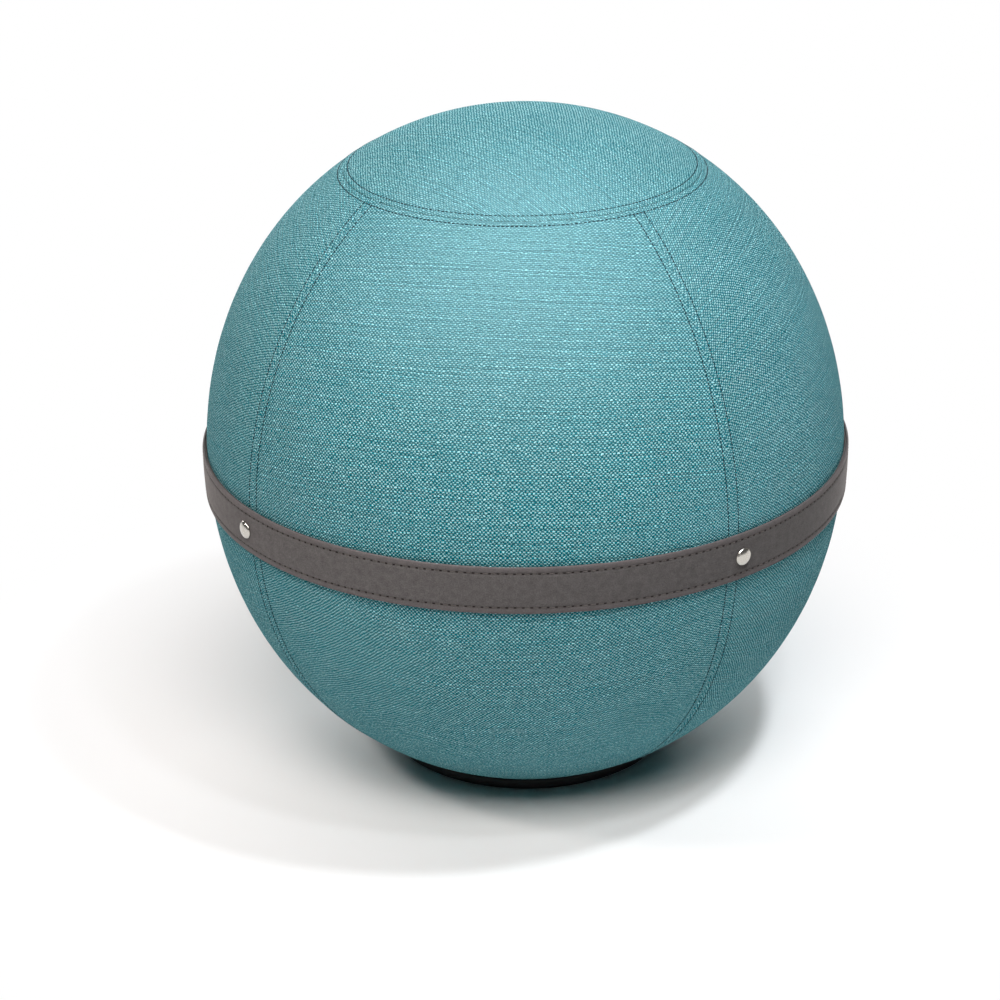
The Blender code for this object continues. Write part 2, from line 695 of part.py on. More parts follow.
def build():
    for old in list(bpy.data.objects):
        bpy.data.objects.remove(old, do_unlink=True)
    teal = material("woven_polyester_teal", (0.13, 0.36, 0.40), 0.9)
    black = material("woven_polyester_black", (0.02, 0.02, 0.02), 0.9)
    tape = material("binding_tape", (0.03, 0.05, 0.055), 0.85)
    suede = material("suede_taupe", (0.10, 0.088, 0.085), 0.85)
    lining = material("belt_lining", (0.06, 0.052, 0.05), 0.9)
    nickel = material("nickel_plate", (0.62, 0.61, 0.59), 0.25, 1.0)
    rubber = material("rubber_black", (0.012, 0.012, 0.012), 0.7)
    iron = material("ballast_iron", (0.12, 0.12, 0.12), 0.6, 1.0)
    vinyl = material("vinyl_grey", (0.30, 0.31, 0.32), 0.45)
    soft_vinyl = material("vinyl_white", (0.75, 0.75, 0.73), 0.45)
    nylon = material("nylon_black", (0.015, 0.015, 0.016), 0.5)

    belt_foot = turn_at_height(BELT_HEIGHT - BELT_WIDTH / 2)
    zip_top = turn_along(belt_foot, ZIP_BELOW_BELT)
    zip_bottom = turn_along(zip_top, ZIP_LENGTH)
    bore = VALVE_BORE_DIAMETER / 2
    collar_radius = bore + VALVE_COLLAR_WALL

    panels = side_panels(teal)
    top_panel(teal)
    top_seam_binding(tape)
    seam_bindings(tape, zip_top)
    straps = (
        belt("belt_face", BELT_WIDTH, BELT_FACE_BOTTOM, BELT_FACE_TOP, BELT_EDGE_ROUNDING,
             math.pi, suede),
        belt("belt_lining", BELT_WIDTH - 2 * BELT_LINING_INSET, GAP, BELT_LINING_TOP,
             BELT_EDGE_ROUNDING, 0.0, lining),
    )
    rivets(panels, straps, nickel)
    base_panel(black)
    foot(rubber)
    ballast_ring(iron)
    bladder(vinyl, collar_radius)
    valve(vinyl, soft_vinyl, bore, collar_radius)
    zip_chain(tape, nylon, nickel, panels, zip_top, zip_bottom)
    zip_slider(nickel, zip_top, zip_bottom)


build()
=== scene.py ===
"""Sitting ball: the visible pieces, sewn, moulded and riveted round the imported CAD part."""

import math

import bpy
import numpy as np
from mathutils import Matrix, Vector


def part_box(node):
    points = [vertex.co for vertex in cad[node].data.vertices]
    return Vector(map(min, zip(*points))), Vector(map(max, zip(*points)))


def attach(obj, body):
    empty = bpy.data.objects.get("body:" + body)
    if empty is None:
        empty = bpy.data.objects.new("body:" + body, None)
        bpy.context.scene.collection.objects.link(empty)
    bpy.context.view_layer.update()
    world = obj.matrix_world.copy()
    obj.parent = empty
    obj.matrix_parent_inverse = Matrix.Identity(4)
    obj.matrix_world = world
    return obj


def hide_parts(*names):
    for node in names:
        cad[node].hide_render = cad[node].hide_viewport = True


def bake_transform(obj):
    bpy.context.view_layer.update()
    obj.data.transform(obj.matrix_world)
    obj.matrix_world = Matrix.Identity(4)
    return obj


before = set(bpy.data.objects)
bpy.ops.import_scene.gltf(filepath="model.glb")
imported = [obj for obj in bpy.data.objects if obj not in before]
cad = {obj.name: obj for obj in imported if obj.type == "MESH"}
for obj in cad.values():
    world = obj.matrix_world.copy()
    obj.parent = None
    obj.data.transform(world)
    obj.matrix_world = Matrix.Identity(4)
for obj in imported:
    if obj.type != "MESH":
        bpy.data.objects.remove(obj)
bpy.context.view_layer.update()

# Non-slip foot: a black rubber dish, compression moulded in one piece and bonded under the cover.
# Its sole has ring grooves for grip, and its rim comes up round the flat of the ball.


def linear(hex_colour):
    """Linear RGBA of an sRGB hex colour."""
    srgb = [int(hex_colour[i : i + 2], 16) / 255 for i in (1, 3, 5)]
    return (*(c / 12.92 if c <= 0.04045 else ((c + 0.055) / 1.055) ** 2.4 for c in srgb), 1.0)


def finish_named(name, **sockets):
    """A material and its shader, with these values set on the shader's own sockets."""
    made = bpy.data.materials.new(name)
    made.use_nodes = True
    shader = made.node_tree.nodes["Principled BSDF"]
    for socket, value in sockets.items():
        shader.inputs[socket.replace("_", " ")].default_value = value
    return made, shader


def put(made, kind, sockets, take=0, **settings):
    """Adds a node to the material, with its settings, and its sockets set or linked. It gives
    back the output that take names."""
    added = made.node_tree.nodes.new("ShaderNode" + kind)
    for setting, value in settings.items():
        setattr(added, setting, value)
    for socket, value in sockets.items():
        if isinstance(value, bpy.types.NodeSocket):
            made.node_tree.links.new(value, added.inputs[socket])
        else:
            added.inputs[socket].default_value = value
    return added.outputs[take]


def mottle(made, shader, pattern, low, high, dents=None):
    """Colours the finish by a pattern, between two (level, hex) stops. Where a (strength, depth)
    is given, the pattern dents it too."""
    tone = put(made, "ValToRGB", {"Fac": pattern})
    for stop, (level, colour) in zip(tone.node.color_ramp.elements, (low, high)):
        stop.position, stop.color = level, linear(colour)
    made.node_tree.links.new(tone, shader.inputs["Base Color"])
    if dents:
        relief = put(made, "Bump", {"Height": pattern, "Strength": dents[0], "Distance": dents[1]})
        made.node_tree.links.new(relief, shader.inputs["Normal"])


def lathe(name, profile, sides):
    """Extrudes a circle from one (radius, height) to the next. A profile that comes back to its
    first point closes on itself, and one that ends on the axis is closed there."""
    (radius, height), *onwards = [(max(r, 1e-5), h) for r, h in profile]
    bpy.ops.mesh.primitive_circle_add(vertices=sides, radius=radius, location=(0, 0, height))
    piece = bpy.context.object
    piece.name = piece.data.name = name
    bpy.ops.object.transform_apply(location=True, rotation=False, scale=False)
    bpy.ops.object.mode_set(mode="EDIT")
    bpy.ops.mesh.select_all(action="SELECT")
    for wider, higher in onwards:
        bpy.ops.mesh.extrude_region_move(TRANSFORM_OT_translate={"value": (0, 0, higher - height)})
        share = wider / radius
        bpy.ops.transform.resize(value=(share, share, 1), center_override=(0, 0, 0))
        radius, height = wider, higher
    bpy.ops.mesh.select_all(action="SELECT")
    bpy.ops.mesh.remove_doubles(threshold=4e-5)
    bpy.ops.mesh.normals_make_consistent(inside=False)
    bpy.ops.object.mode_set(mode="OBJECT")
    bpy.ops.object.shade_smooth_by_angle(angle=math.radians(40))
    return piece


BALL_RADIUS, CROWN_RISE, EQUATOR, FULLNESS = 0.275, 0.294, 0.273, 2.05
GAP = 0.0003


def skin(turn, offset=0.0):
    """(radius, height) on the inflated ball's section, turn from the crown, offset outwards."""
    across, up = np.sin(turn), np.cos(turn)
    radius = BALL_RADIUS * np.abs(across) ** (2 / FULLNESS)
    height = CROWN_RISE * np.sign(up) * np.abs(up) ** (2 / FULLNESS)
    out = (radius / BALL_RADIUS) ** (FULLNESS - 1) / BALL_RADIUS
    rise = np.sign(height) * (np.abs(height) / CROWN_RISE) ** (FULLNESS - 1) / CROWN_RISE
    size = np.hypot(out, rise)
    return radius + offset * out / size, EQUATOR + height + offset * rise / size


# Lengths down the skin from the crown, which is how cloth and tape are measured.
TURNS = np.linspace(0.0, math.pi, 20001)
SKIN_RADII, SKIN_HEIGHTS = skin(TURNS)
LENGTHS = np.concatenate([[0], np.cumsum(np.hypot(np.diff(SKIN_RADII), np.diff(SKIN_HEIGHTS)))])


def turn_down(length):
    return np.interp(length, LENGTHS, TURNS)


def length_at_height(height):
    return float(np.interp(-height, -SKIN_HEIGHTS, LENGTHS))


def length_at_radius(radius):
    """On the upper half."""
    half = len(TURNS) // 2
    return float(np.interp(radius, SKIN_RADII[:half], LENGTHS[:half]))


FOOT_PLATE, FOOT_RADIUS, FOOT_RIM_HEIGHT, RIM_WALL = 0.0040, 0.1281, 0.0093, 0.0016
DISH_CORNER, DISH_ROWS, SOLE_MIDDLE = 0.001, 8, 0.030
# The rim's outer edge and the sole's are rounded: (in from the side, height).
RIM_EDGE = [
    (0.0008, FOOT_RIM_HEIGHT - 0.0002), (0.0002, FOOT_RIM_HEIGHT - 0.0008),
    (0.0, FOOT_RIM_HEIGHT - 0.0018),
]
SOLE_EDGE = [(0.0, 0.0022), (0.0005, 0.0010), (0.0020, 0.0)]
GRIP_GROOVES = (0.118, 0.106, 0.094, 0.082, 0.070)
GRIP_MOUTH, GRIP_FLOOR, GRIP_DEPTH = 0.0017, 0.0011, 0.0012
foot_dish = [
    (r, h)
    for r, h in zip(*skin(np.linspace(2.2, 2.9, 400), GAP))
    if h > FOOT_PLATE and r < FOOT_RADIUS - RIM_WALL
]
foot_dish = foot_dish[:: len(foot_dish) // DISH_ROWS]
foot_profile = [(0.0, FOOT_PLATE), (foot_dish[-1][0] - DISH_CORNER, FOOT_PLATE), *foot_dish[::-1]]
foot_profile += [(FOOT_RADIUS - inward, height) for inward, height in RIM_EDGE + SOLE_EDGE]
for groove in GRIP_GROOVES:
    foot_profile += [
        (groove + GRIP_MOUTH, 0.0), (groove + GRIP_FLOOR, GRIP_DEPTH),
        (groove - GRIP_FLOOR, GRIP_DEPTH), (groove - GRIP_MOUTH, 0.0),
    ]
foot_profile += [(SOLE_MIDDLE, 0.0), (0.0, 0.0)]
foot = lathe("foot", foot_profile, 128)

# Moulded rubber is matt black, with the fine eroded grain of its mould and a greyer bloom.
rubber, shader = finish_named("moulded_black_rubber", Roughness=0.62, IOR=1.5)
place = put(rubber, "TexCoord", {}, "Object")
bloom = put(rubber, "TexNoise", {"Vector": place, "Scale": 1 / 0.030, "Detail": 4.0})
mottle(rubber, shader, bloom, (0.35, "#0b0b0c"), (0.75, "#19191a"))
grain = put(rubber, "TexNoise", {"Vector": place, "Scale": 1 / 0.0009, "Detail": 2.0})
dents = put(rubber, "Bump", {"Height": grain, "Strength": 0.35, "Distance": 0.0002})
rubber.node_tree.links.new(dents, shader.inputs["Normal"])
foot.data.materials.append(rubber)
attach(foot, "ball")
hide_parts("non_slip_foot")

# Base panel: a round of black polyester cloth that closes the cover over the foot.
# It is the same plain weave as the cover, cut round and sewn in, so its yarns show in flat rows.
CLOTH_THICKNESS, CLOTH_ROUND, YARN_PITCH = 0.0015, 0.0004, 0.00162
# So far apart in the noise that one yarn's tone has nothing to do with the next one's.
YARN_APART = 7.31
# Painted sheen on the cover: the middle of the paler patch painted where the front light falls, how far
# it reaches and how much weave it leaves.
PAINTED_SHEEN_MIDDLE, PAINTED_SHEEN_REACH, PAINTED_SHEEN_WEAVE_LEFT = (0.02, -0.17, 0.50), 0.2, 0.25


def plain_weave(name, warp, weft, fleck, sheen_colour, pitch, depth):
    """Plain-woven cloth: one warp colour, and a melange weft that pales to its flecks. It reads
    the piece's own map, in metres along the weft and along the warp, so rows follow the cut."""
    made, shader = finish_named(name, Roughness=0.95, Specular_IOR_Level=0.05)
    cloth = put(made, "UVMap", {}, uv_map="cloth")
    rows = put(made, "VectorMath", {0: cloth, 1: (1 / pitch, 1 / pitch, 0)}, operation="MULTIPLY")
    # Rows wander over some thirty yarns, as on any loom, and uneven yarn crowds its neighbours.
    for reach, sway in ((30, 1.2), (2.4, 1.6)):
        wander = put(made, "TexNoise", {"Vector": rows, "Scale": 1 / reach, "Detail": 1.0}, "Color")
        rows = put(
            made, "VectorMath", {0: wander, 1: (sway, sway, 0), 2: rows}, operation="MULTIPLY_ADD"
        )
    cell = put(made, "VectorMath", {0: rows}, operation="FLOOR")
    inside = put(made, "VectorMath", {0: rows}, operation="FRACTION")
    middle = put(made, "VectorMath", {0: cell, 1: (0.5, 0.5, 0.5)}, operation="ADD")
    weft_over = put(made, "TexChecker", {"Vector": middle, "Scale": 1.0}, "Fac")
    # Each crossing is a pillow: its yarn is highest in the middle and falls to the gaps.
    rest = put(made, "VectorMath", {0: (1, 1, 1), 1: inside}, operation="SUBTRACT")
    arch = put(made, "VectorMath", {0: inside, 1: rest}, operation="MULTIPLY")
    arch = put(made, "SeparateXYZ", {0: arch}).node.outputs
    pillow = put(made, "Math", {0: arch["X"], 1: arch["Y"]}, operation="MULTIPLY")
    pillow = put(made, "Math", {0: pillow, 1: 16.0}, operation="MULTIPLY")
    # Every yarn varies along its own length: (its way, the way it is counted, which neighbour,
    # how many crossings one change takes, detail).
    where = put(made, "SeparateXYZ", {0: rows}).node.outputs
    which = put(made, "SeparateXYZ", {0: cell}).node.outputs
    runs = []
    for along, yarn, beside, reach, finer in (
        ("X", "Y", 0, 70, 4.0), ("Y", "X", 0, 50, 4.0),
        ("X", "Y", -1, 150, 1.0), ("X", "Y", 0, 150, 1.0), ("X", "Y", 1, 150, 1.0),
    ):
        run = put(made, "Math", {0: where[along], 1: 1 / reach}, operation="MULTIPLY")
        row = put(made, "Math", {0: which[yarn], 1: beside}, operation="ADD")
        row = put(made, "Math", {0: row, 1: YARN_APART}, operation="MULTIPLY")
        spot = put(made, "CombineXYZ", {"X": run, "Y": row})
        runs.append(
            put(made, "TexNoise", {"Vector": spot, "Scale": 1.0, "Detail": finer, "Roughness": 0.95})
        )
    weft_run, warp_run, row_before, row_itself, row_after = runs
    # A thick weft yarn stands out from the thinner ones on both its sides, in long fine lines.
    both = put(made, "Math", {0: row_before, 1: row_after}, operation="ADD")
    slub = put(made, "Math", {0: both, 1: -0.5, 2: row_itself}, operation="MULTIPLY_ADD")
    # Melange: each weft yarn runs from its colour to its flecks and back, so dots come and go.
    jump = put(made, "TexWhiteNoise", {"Vector": cell}, noise_dimensions="2D")
    pale = put(made, "Math", {0: jump, 1: 0.10, 2: weft_run}, operation="MULTIPLY_ADD")
    pale = put(made, "MapRange", {"Value": pale, 1: 0.34, 2: 0.76})
    melange = put(made, "Mix", {0: pale, 6: linear(weft), 7: linear(fleck)}, 2, data_type="RGBA")
    yarns = put(made, "Mix", {0: weft_over, 6: linear(warp), 7: melange}, 2, data_type="RGBA")
    # Painted sheen: the upper front, where the front light falls, is painted paler, its yarns blended to
    # one even tone.
    place = put(made, "TexCoord", {}, "Object")
    away = put(made, "VectorMath", {0: place, 1: PAINTED_SHEEN_MIDDLE}, "Value", operation="DISTANCE")
    weave_beside_sheen = put(
        made, "MapRange", {"Value": away, 1: 0.0, 2: PAINTED_SHEEN_REACH, 3: PAINTED_SHEEN_WEAVE_LEFT, 4: 1.0},
        interpolation_type="SMOOTHSTEP",
    )
    yarns = put(made, "Mix", {0: weave_beside_sheen, 6: linear(sheen_colour), 7: yarns}, 2, data_type="RGBA")
    # What lightens and darkens the yarns: (what, its low and high, the tone at each). The last
    # two are painted shade, darker in the gaps round each crossing and between weft rows.
    dye = put(made, "TexNoise", {"Vector": cloth, "Scale": 1 / 0.055, "Detail": 3.0})
    level = 1.0
    for tone, low, high, least, most in (
        (warp_run, 0.30, 0.70, 0.95, 1.05), (slub, -0.2, 0.2, 0.8, 1.2),
        (jump, 0.0, 1.0, 0.84, 1.16), (dye, 0.3, 0.7, 0.97, 1.03),
        (pillow, 0.0, 0.6, 0.78, 1.06), (arch["Y"], 0.0, 0.2, 0.3, 1.16),
    ):
        share = put(made, "MapRange", {"Value": tone, 1: low, 2: high, 3: least, 4: most})
        level = put(made, "Math", {0: level, 1: share}, operation="MULTIPLY")
    shaded = put(
        made, "Mix", {0: 1.0, 6: yarns, 7: level}, 2, data_type="RGBA", blend_type="MULTIPLY"
    )
    made.node_tree.links.new(shaded, shader.inputs["Base Color"])
    # Some crossings stand higher than others, which shows where the light grazes the cloth.
    stand = put(made, "MapRange", {"Value": jump, 1: 0.0, 2: 1.0, 3: 0.5, 4: 1.5})
    height = put(made, "Math", {0: pillow, 1: stand}, operation="MULTIPLY")
    relief = put(made, "Bump", {"Height": height, "Strength": 0.8, "Distance": depth})
    made.node_tree.links.new(relief, shader.inputs["Normal"])
    return made


def corners_of(piece):
    """The vertex at every corner of every face."""
    corners = np.empty(len(piece.data.loops), np.int32)
    piece.data.loops.foreach_get("vertex_index", corners)
    return corners


def lay_map(piece, name, across, along):
    """Adds a map of every corner's place on the flat cut, in metres."""
    layer = piece.data.uv_layers.new(name=name)
    layer.data.foreach_set("uv", np.stack([across, along], axis=1).astype(np.float32).ravel())
    return layer


def lay_cloth(piece, across, along):
    """Gives the piece its cloth map from each vertex's place."""
    corners = corners_of(piece)
    piece.data.uv_layers.active = lay_map(piece, "cloth", across[corners], along[corners])


def points_of(piece):
    found = np.empty(len(piece.data.vertices) * 3)
    piece.data.vertices.foreach_get("co", found)
    return found.reshape(-1, 3)


def move_points(piece, points):
    piece.data.vertices.foreach_set("co", np.asarray(points, np.float32).ravel())
    piece.data.update()


COVER_FLOOR = FOOT_PLATE + GAP
BASE_TOP = COVER_FLOOR + CLOTH_THICKNESS
BASE_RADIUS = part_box("base_panel")[1].x
base_profile = [
    (0.0, COVER_FLOOR), (BASE_RADIUS - CLOTH_ROUND, COVER_FLOOR),
    (BASE_RADIUS, COVER_FLOOR + CLOTH_ROUND), (BASE_RADIUS, BASE_TOP - CLOTH_ROUND),
    (BASE_RADIUS - CLOTH_ROUND, BASE_TOP), (0.0, BASE_TOP),
]
base_panel = lathe("base_cloth", base_profile, 96)
base_points = points_of(base_panel)
lay_cloth(base_panel, base_points[:, 0], base_points[:, 1])
black_cloth = plain_weave(
    "black_polyester_plain_weave", "#111112", "#1d1d1e", "#29292a", "#1c1c1d", YARN_PITCH, 0.0003
)
base_panel.data.materials.append(black_cloth)
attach(base_panel, "ball")
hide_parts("base_panel")

# Ballast ring: a grey iron casting that lies on the base panel and rights the ball.
# It keeps its sand-cast skin under a thin black dip.


def recoat(node, finish):
    """Gives a solid of the CAD its real material."""
    cad[node].data.materials.clear()
    cad[node].data.materials.append(finish)


cast_iron, shader = finish_named("dipped_cast_iron", Roughness=0.55, Metallic=0.35)
place = put(cast_iron, "TexCoord", {}, "Object")
sand = put(cast_iron, "TexNoise", {"Vector": place, "Scale": 1 / 0.0016, "Detail": 5.0})
mottle(cast_iron, shader, sand, (0.35, "#1d1d1e"), (0.72, "#3a3937"), (0.5, 0.0004))
recoat("ballast_ring", cast_iron)

# Bladder: a grey vinyl ball, welded from two dipped halves and blown up tight inside the cover.
# Its wall is 2 mm, and it lies flat on the ballast.
BLADDER_OFFSET, BLADDER_WALL, BLADDER_FLOOR = -0.0048, 0.0020, 0.0184
VALVE_HOLE = 0.0123


def bladder_section(offset, floor, rows):
    turns = np.linspace(0.0, 2.95, 3000)
    radii, heights = skin(turns, offset)
    last = int(np.argmax((heights < floor) & (turns > 1.5)))
    chosen = np.linspace(0, last - 1, rows).astype(int)
    return [(float(radii[i]), float(heights[i])) for i in chosen] + [(float(radii[last]), floor)]


inner_floor = BLADDER_FLOOR + BLADDER_WALL
bladder_profile = bladder_section(BLADDER_OFFSET, BLADDER_FLOOR, 40)
bladder_profile += [(VALVE_HOLE, BLADDER_FLOOR), (VALVE_HOLE, inner_floor)]
bladder_profile += bladder_section(BLADDER_OFFSET - BLADDER_WALL, inner_floor, 30)[::-1]
bladder = lathe("air_bladder", bladder_profile, 96)

# Soft vinyl has a satin skin with a leathery grain from the mould.
vinyl, shader = finish_named("dipped_grey_vinyl", Roughness=0.42, IOR=1.53)
place = put(vinyl, "TexCoord", {}, "Object")
cells = put(vinyl, "TexVoronoi", {"Vector": place, "Scale": 1 / 0.0024}, feature="SMOOTH_F1")
mottle(vinyl, shader, cells, (0.0, "#94969a"), (1.0, "#85878b"), (0.3, 0.0003))
bladder.data.materials.append(vinyl)
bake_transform(bladder)
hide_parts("bladder")

# Valve: a moulded collar welded into the bladder's floor, and the stepped plug pushed into it.
# Both are turned shapes that the CAD already has, so only their vinyl is added.
plug_vinyl, shader = finish_named("moulded_white_vinyl", Roughness=0.38, IOR=1.53)
place = put(plug_vinyl, "TexCoord", {}, "Object")
haze = put(plug_vinyl, "TexNoise", {"Vector": place, "Scale": 1 / 0.006, "Detail": 3.0})
mottle(plug_vinyl, shader, haze, (0.0, "#d9d8d3"), (1.0, "#e8e7e3"))
recoat("valve_collar", vinyl)
recoat("valve_plug", plug_vinyl)

# Seam bindings: black cotton tape folded flat and sewn over each seam's raw edges, inside the cover.
# One runs down each upright seam, stepped in at the belt for a rivet's washer, and one rings the top.
TOP_SEAM_RADIUS = 0.149
SEAM_TURNS = {"front_right": 45, "rear_right": 135, "rear_left": -135, "front_left": -45}
BINDING_WIDTH, BINDING_THICKNESS = 0.0140, 0.0016
SEAM_ALLOWANCE = 0.0010
BINDING_TOP = -CLOTH_THICKNESS - SEAM_ALLOWANCE
BINDING_FOOT, BINDING_ABOVE_ZIP = 0.0204, 0.006
WASHER_STEP, WASHER_ROOM = 0.0011, 0.0068
RING_LENGTH = length_at_radius(TOP_SEAM_RADIUS)
BELT_HEIGHT, BELT_WIDTH = 0.2665, 0.040
ZIP_BELOW_BELT, ZIP_LENGTH = 0.010, 0.230
ZIP_TOP = length_at_height(BELT_HEIGHT - BELT_WIDTH / 2) + ZIP_BELOW_BELT
ZIP_BOTTOM = ZIP_TOP + ZIP_LENGTH
BASE_LENGTH = length_at_height(COVER_FLOOR)


def around(radius, azimuth, height):
    """Azimuth 0 faces -Y and grows towards +X."""
    return np.stack(
        [radius * np.sin(azimuth), -radius * np.cos(azimuth), height + 0 * radius], axis=-1
    )


def on_ball(length, azimuth, across, offset):
    """Points this far down the skin, this far sideways from a meridian and this far out."""
    radius, height = skin(turn_down(length), offset)
    return around(radius, azimuth + across / radius, height)


def grid_piece(name, columns, rows):
    """A flat grid of so many vertices each way, and each vertex's (column, row)."""
    bpy.ops.mesh.primitive_grid_add(x_subdivisions=columns - 1, y_subdivisions=rows - 1, size=2)
    piece = bpy.context.object
    piece.name = piece.data.name = name
    flat = points_of(piece)
    column = np.rint((flat[:, 0] + 1) / 2 * (columns - 1)).astype(int)
    row = np.rint((flat[:, 1] + 1) / 2 * (rows - 1)).astype(int)
    return piece, column, row


def give_wall(piece, thickness):
    """Turns the laid sheet's faces away from the middle of the ball and puts a wall under them."""
    middle = Vector((0, 0, EQUATOR))
    total = sum((face.center - middle).dot(face.normal) * face.area for face in piece.data.polygons)
    if total < 0:
        piece.data.flip_normals()
    wall = piece.modifiers.new("wall", "SOLIDIFY")
    wall.thickness, wall.offset, wall.use_even_offset = thickness, -1, True
    bpy.ops.object.modifier_apply(modifier=wall.name)
    bpy.ops.object.shade_smooth_by_angle(angle=math.radians(50))


def strip(name, azimuth, lengths, low, high, offset, columns, thickness):
    """A tape down a meridian between two sideways edges, laid under the skin at this offset."""
    piece, column, row = grid_piece(name, columns, len(lengths))
    share = column / (columns - 1)
    low, high = (np.broadcast_to(edge, lengths.shape)[row] for edge in (low, high))
    across, along = low + (high - low) * share, lengths[row]
    move_points(piece, on_ball(along, azimuth, across, offset))
    lay_cloth(piece, across, along)
    give_wall(piece, thickness)
    return piece


# Twill tape 14 mm wide: fine diagonal ribs at 0.9 mm in matt black-green cotton.
tape_cotton, shader = finish_named("cotton_twill_tape", Roughness=0.9, Sheen_Weight=0.1)
cloth = put(tape_cotton, "UVMap", {}, uv_map="cloth")
slanted = put(tape_cotton, "Mapping", {"Vector": cloth, "Rotation": (0, 0, math.radians(45))})
ribs = put(
    tape_cotton, "TexWave", {"Vector": slanted, "Scale": 0.31 / 0.0009, "Distortion": 0.4}, "Fac"
)
mottle(tape_cotton, shader, ribs, (0.0, "#15211f"), (1.0, "#2b3a39"), (0.4, 0.0002))

belt_length = length_at_height(BELT_HEIGHT)
first = length_at_radius(TOP_SEAM_RADIUS + BINDING_WIDTH / 2 + 2 * GAP)
for seam, degrees in SEAM_TURNS.items():
    last = ZIP_TOP - BINDING_ABOVE_ZIP if seam == "rear_right" else length_at_height(BINDING_FOOT)
    lengths = np.linspace(first, last, 160)
    beside_rivet = np.abs(lengths - belt_length) < WASHER_ROOM
    narrowed = np.where(beside_rivet, WASHER_STEP, BINDING_WIDTH / 2)
    whole = np.full_like(lengths, BINDING_WIDTH / 2)
    right = seam in ("front_right", "rear_left")
    binding = strip(
        "binding_" + seam, math.radians(degrees), lengths, -whole if right else -narrowed,
        narrowed if right else whole, BINDING_TOP, 7, BINDING_THICKNESS,
    )
    binding.data.materials.append(tape_cotton)
    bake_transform(binding)
    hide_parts("seam_binding_" + seam)

ring_lengths = RING_LENGTH + np.linspace(-BINDING_WIDTH / 2, BINDING_WIDTH / 2, 7)
ring_section = list(zip(*skin(turn_down(ring_lengths), BINDING_TOP)))
ring_section += list(zip(*skin(turn_down(ring_lengths[::-1]), BINDING_TOP - BINDING_THICKNESS)))
ring_binding = lathe("binding_top_ring", ring_section + ring_section[:1], 160)
ring_points = points_of(ring_binding)
ring_turn = np.arctan2(ring_points[:, 0], -ring_points[:, 1])
lay_cloth(ring_binding, np.hypot(ring_points[:, 0], ring_points[:, 1]), ring_turn * TOP_SEAM_RADIUS)
ring_binding.data.materials.append(tape_cotton)
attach(ring_binding, "seat")
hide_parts("top_seam_binding")

# Side panels: four gores of teal melange upholstery cloth, cut from the flat and sewn edge to edge.
# The seam allowances lie under the edges and lift them, and twin topstitching pulls in a line each side.
STITCH_BESIDE_SEAM = 0.0051
# Edge steps in millimetres from a seam, and how high the cloth lies there: it rolls down into the
# seam, rides over the allowance, dips at the stitching and comes level.
EDGE_STEPS = np.array([0, 0.3, 0.7, 1.2, 2, 3, 4, 4.6, 5.1, 5.6, 6.3, 7.2, 8.5, 10.5, 13.5, 18]) / 1e3
EDGE_LIFT = np.array([-.5, -.22, 0, .14, .24, .28, .24, .04, -.2, .02, .16, .14, .07, .02, 0, 0]) / 1e3
# Puckers along a seam: (height, wave, where the wave starts, how soon they die out beside it).
PUCKERS = ((0.10e-3, 0.019, 0.0, 0.009), (0.08e-3, 0.0127, 1.3, 0.012))
PANEL_TURNS = {"front": 0, "right": 90, "back": 180, "left": -90}
ZIP_OPENING, ZIP_MARGIN, ZIP_EASE = 0.0060, 0.0085, 0.006
DENT_DEPTH, DENT_REACH, DENT_EASE = 0.00035, 0.006, 0.008
ROWS_BELOW_EDGE, MIDDLE_COLUMNS = 225, 30
FRONT_LEVEL, SIDE_LEVEL, LEVEL_FROM = 0.55, 0.15, 0.4


def smooth_step(share):
    share = np.clip(share, 0, 1)
    return share * share * (3 - 2 * share)


def zip_gap(lengths):
    """Half the opening between the two panels that the zip joins."""
    opened = smooth_step((lengths - ZIP_TOP + ZIP_MARGIN) / ZIP_EASE)
    closed = smooth_step((ZIP_BOTTOM + ZIP_MARGIN - lengths) / ZIP_EASE)
    return GAP / 2 + (ZIP_OPENING - GAP / 2) * opened * closed


def seam_height(lengths, beside_edge):
    """How far the cloth stands off the skin beside a seam: its lift, and slight puckers along it."""
    stands = np.interp(beside_edge, EDGE_STEPS, EDGE_LIFT)
    for height, wave, start, fade in PUCKERS:
        ripple = np.sin(lengths * 2 * math.pi / wave + start)
        stands = stands + height * ripple * np.exp(-beside_edge / fade)
    return stands


def belt_dent(lengths):
    """The belt presses the cloth in a little, and it comes back within a few millimetres."""
    beyond = np.abs(lengths - belt_length) - BELT_WIDTH / 2
    return -DENT_DEPTH * smooth_step((DENT_REACH - beyond) / DENT_EASE)


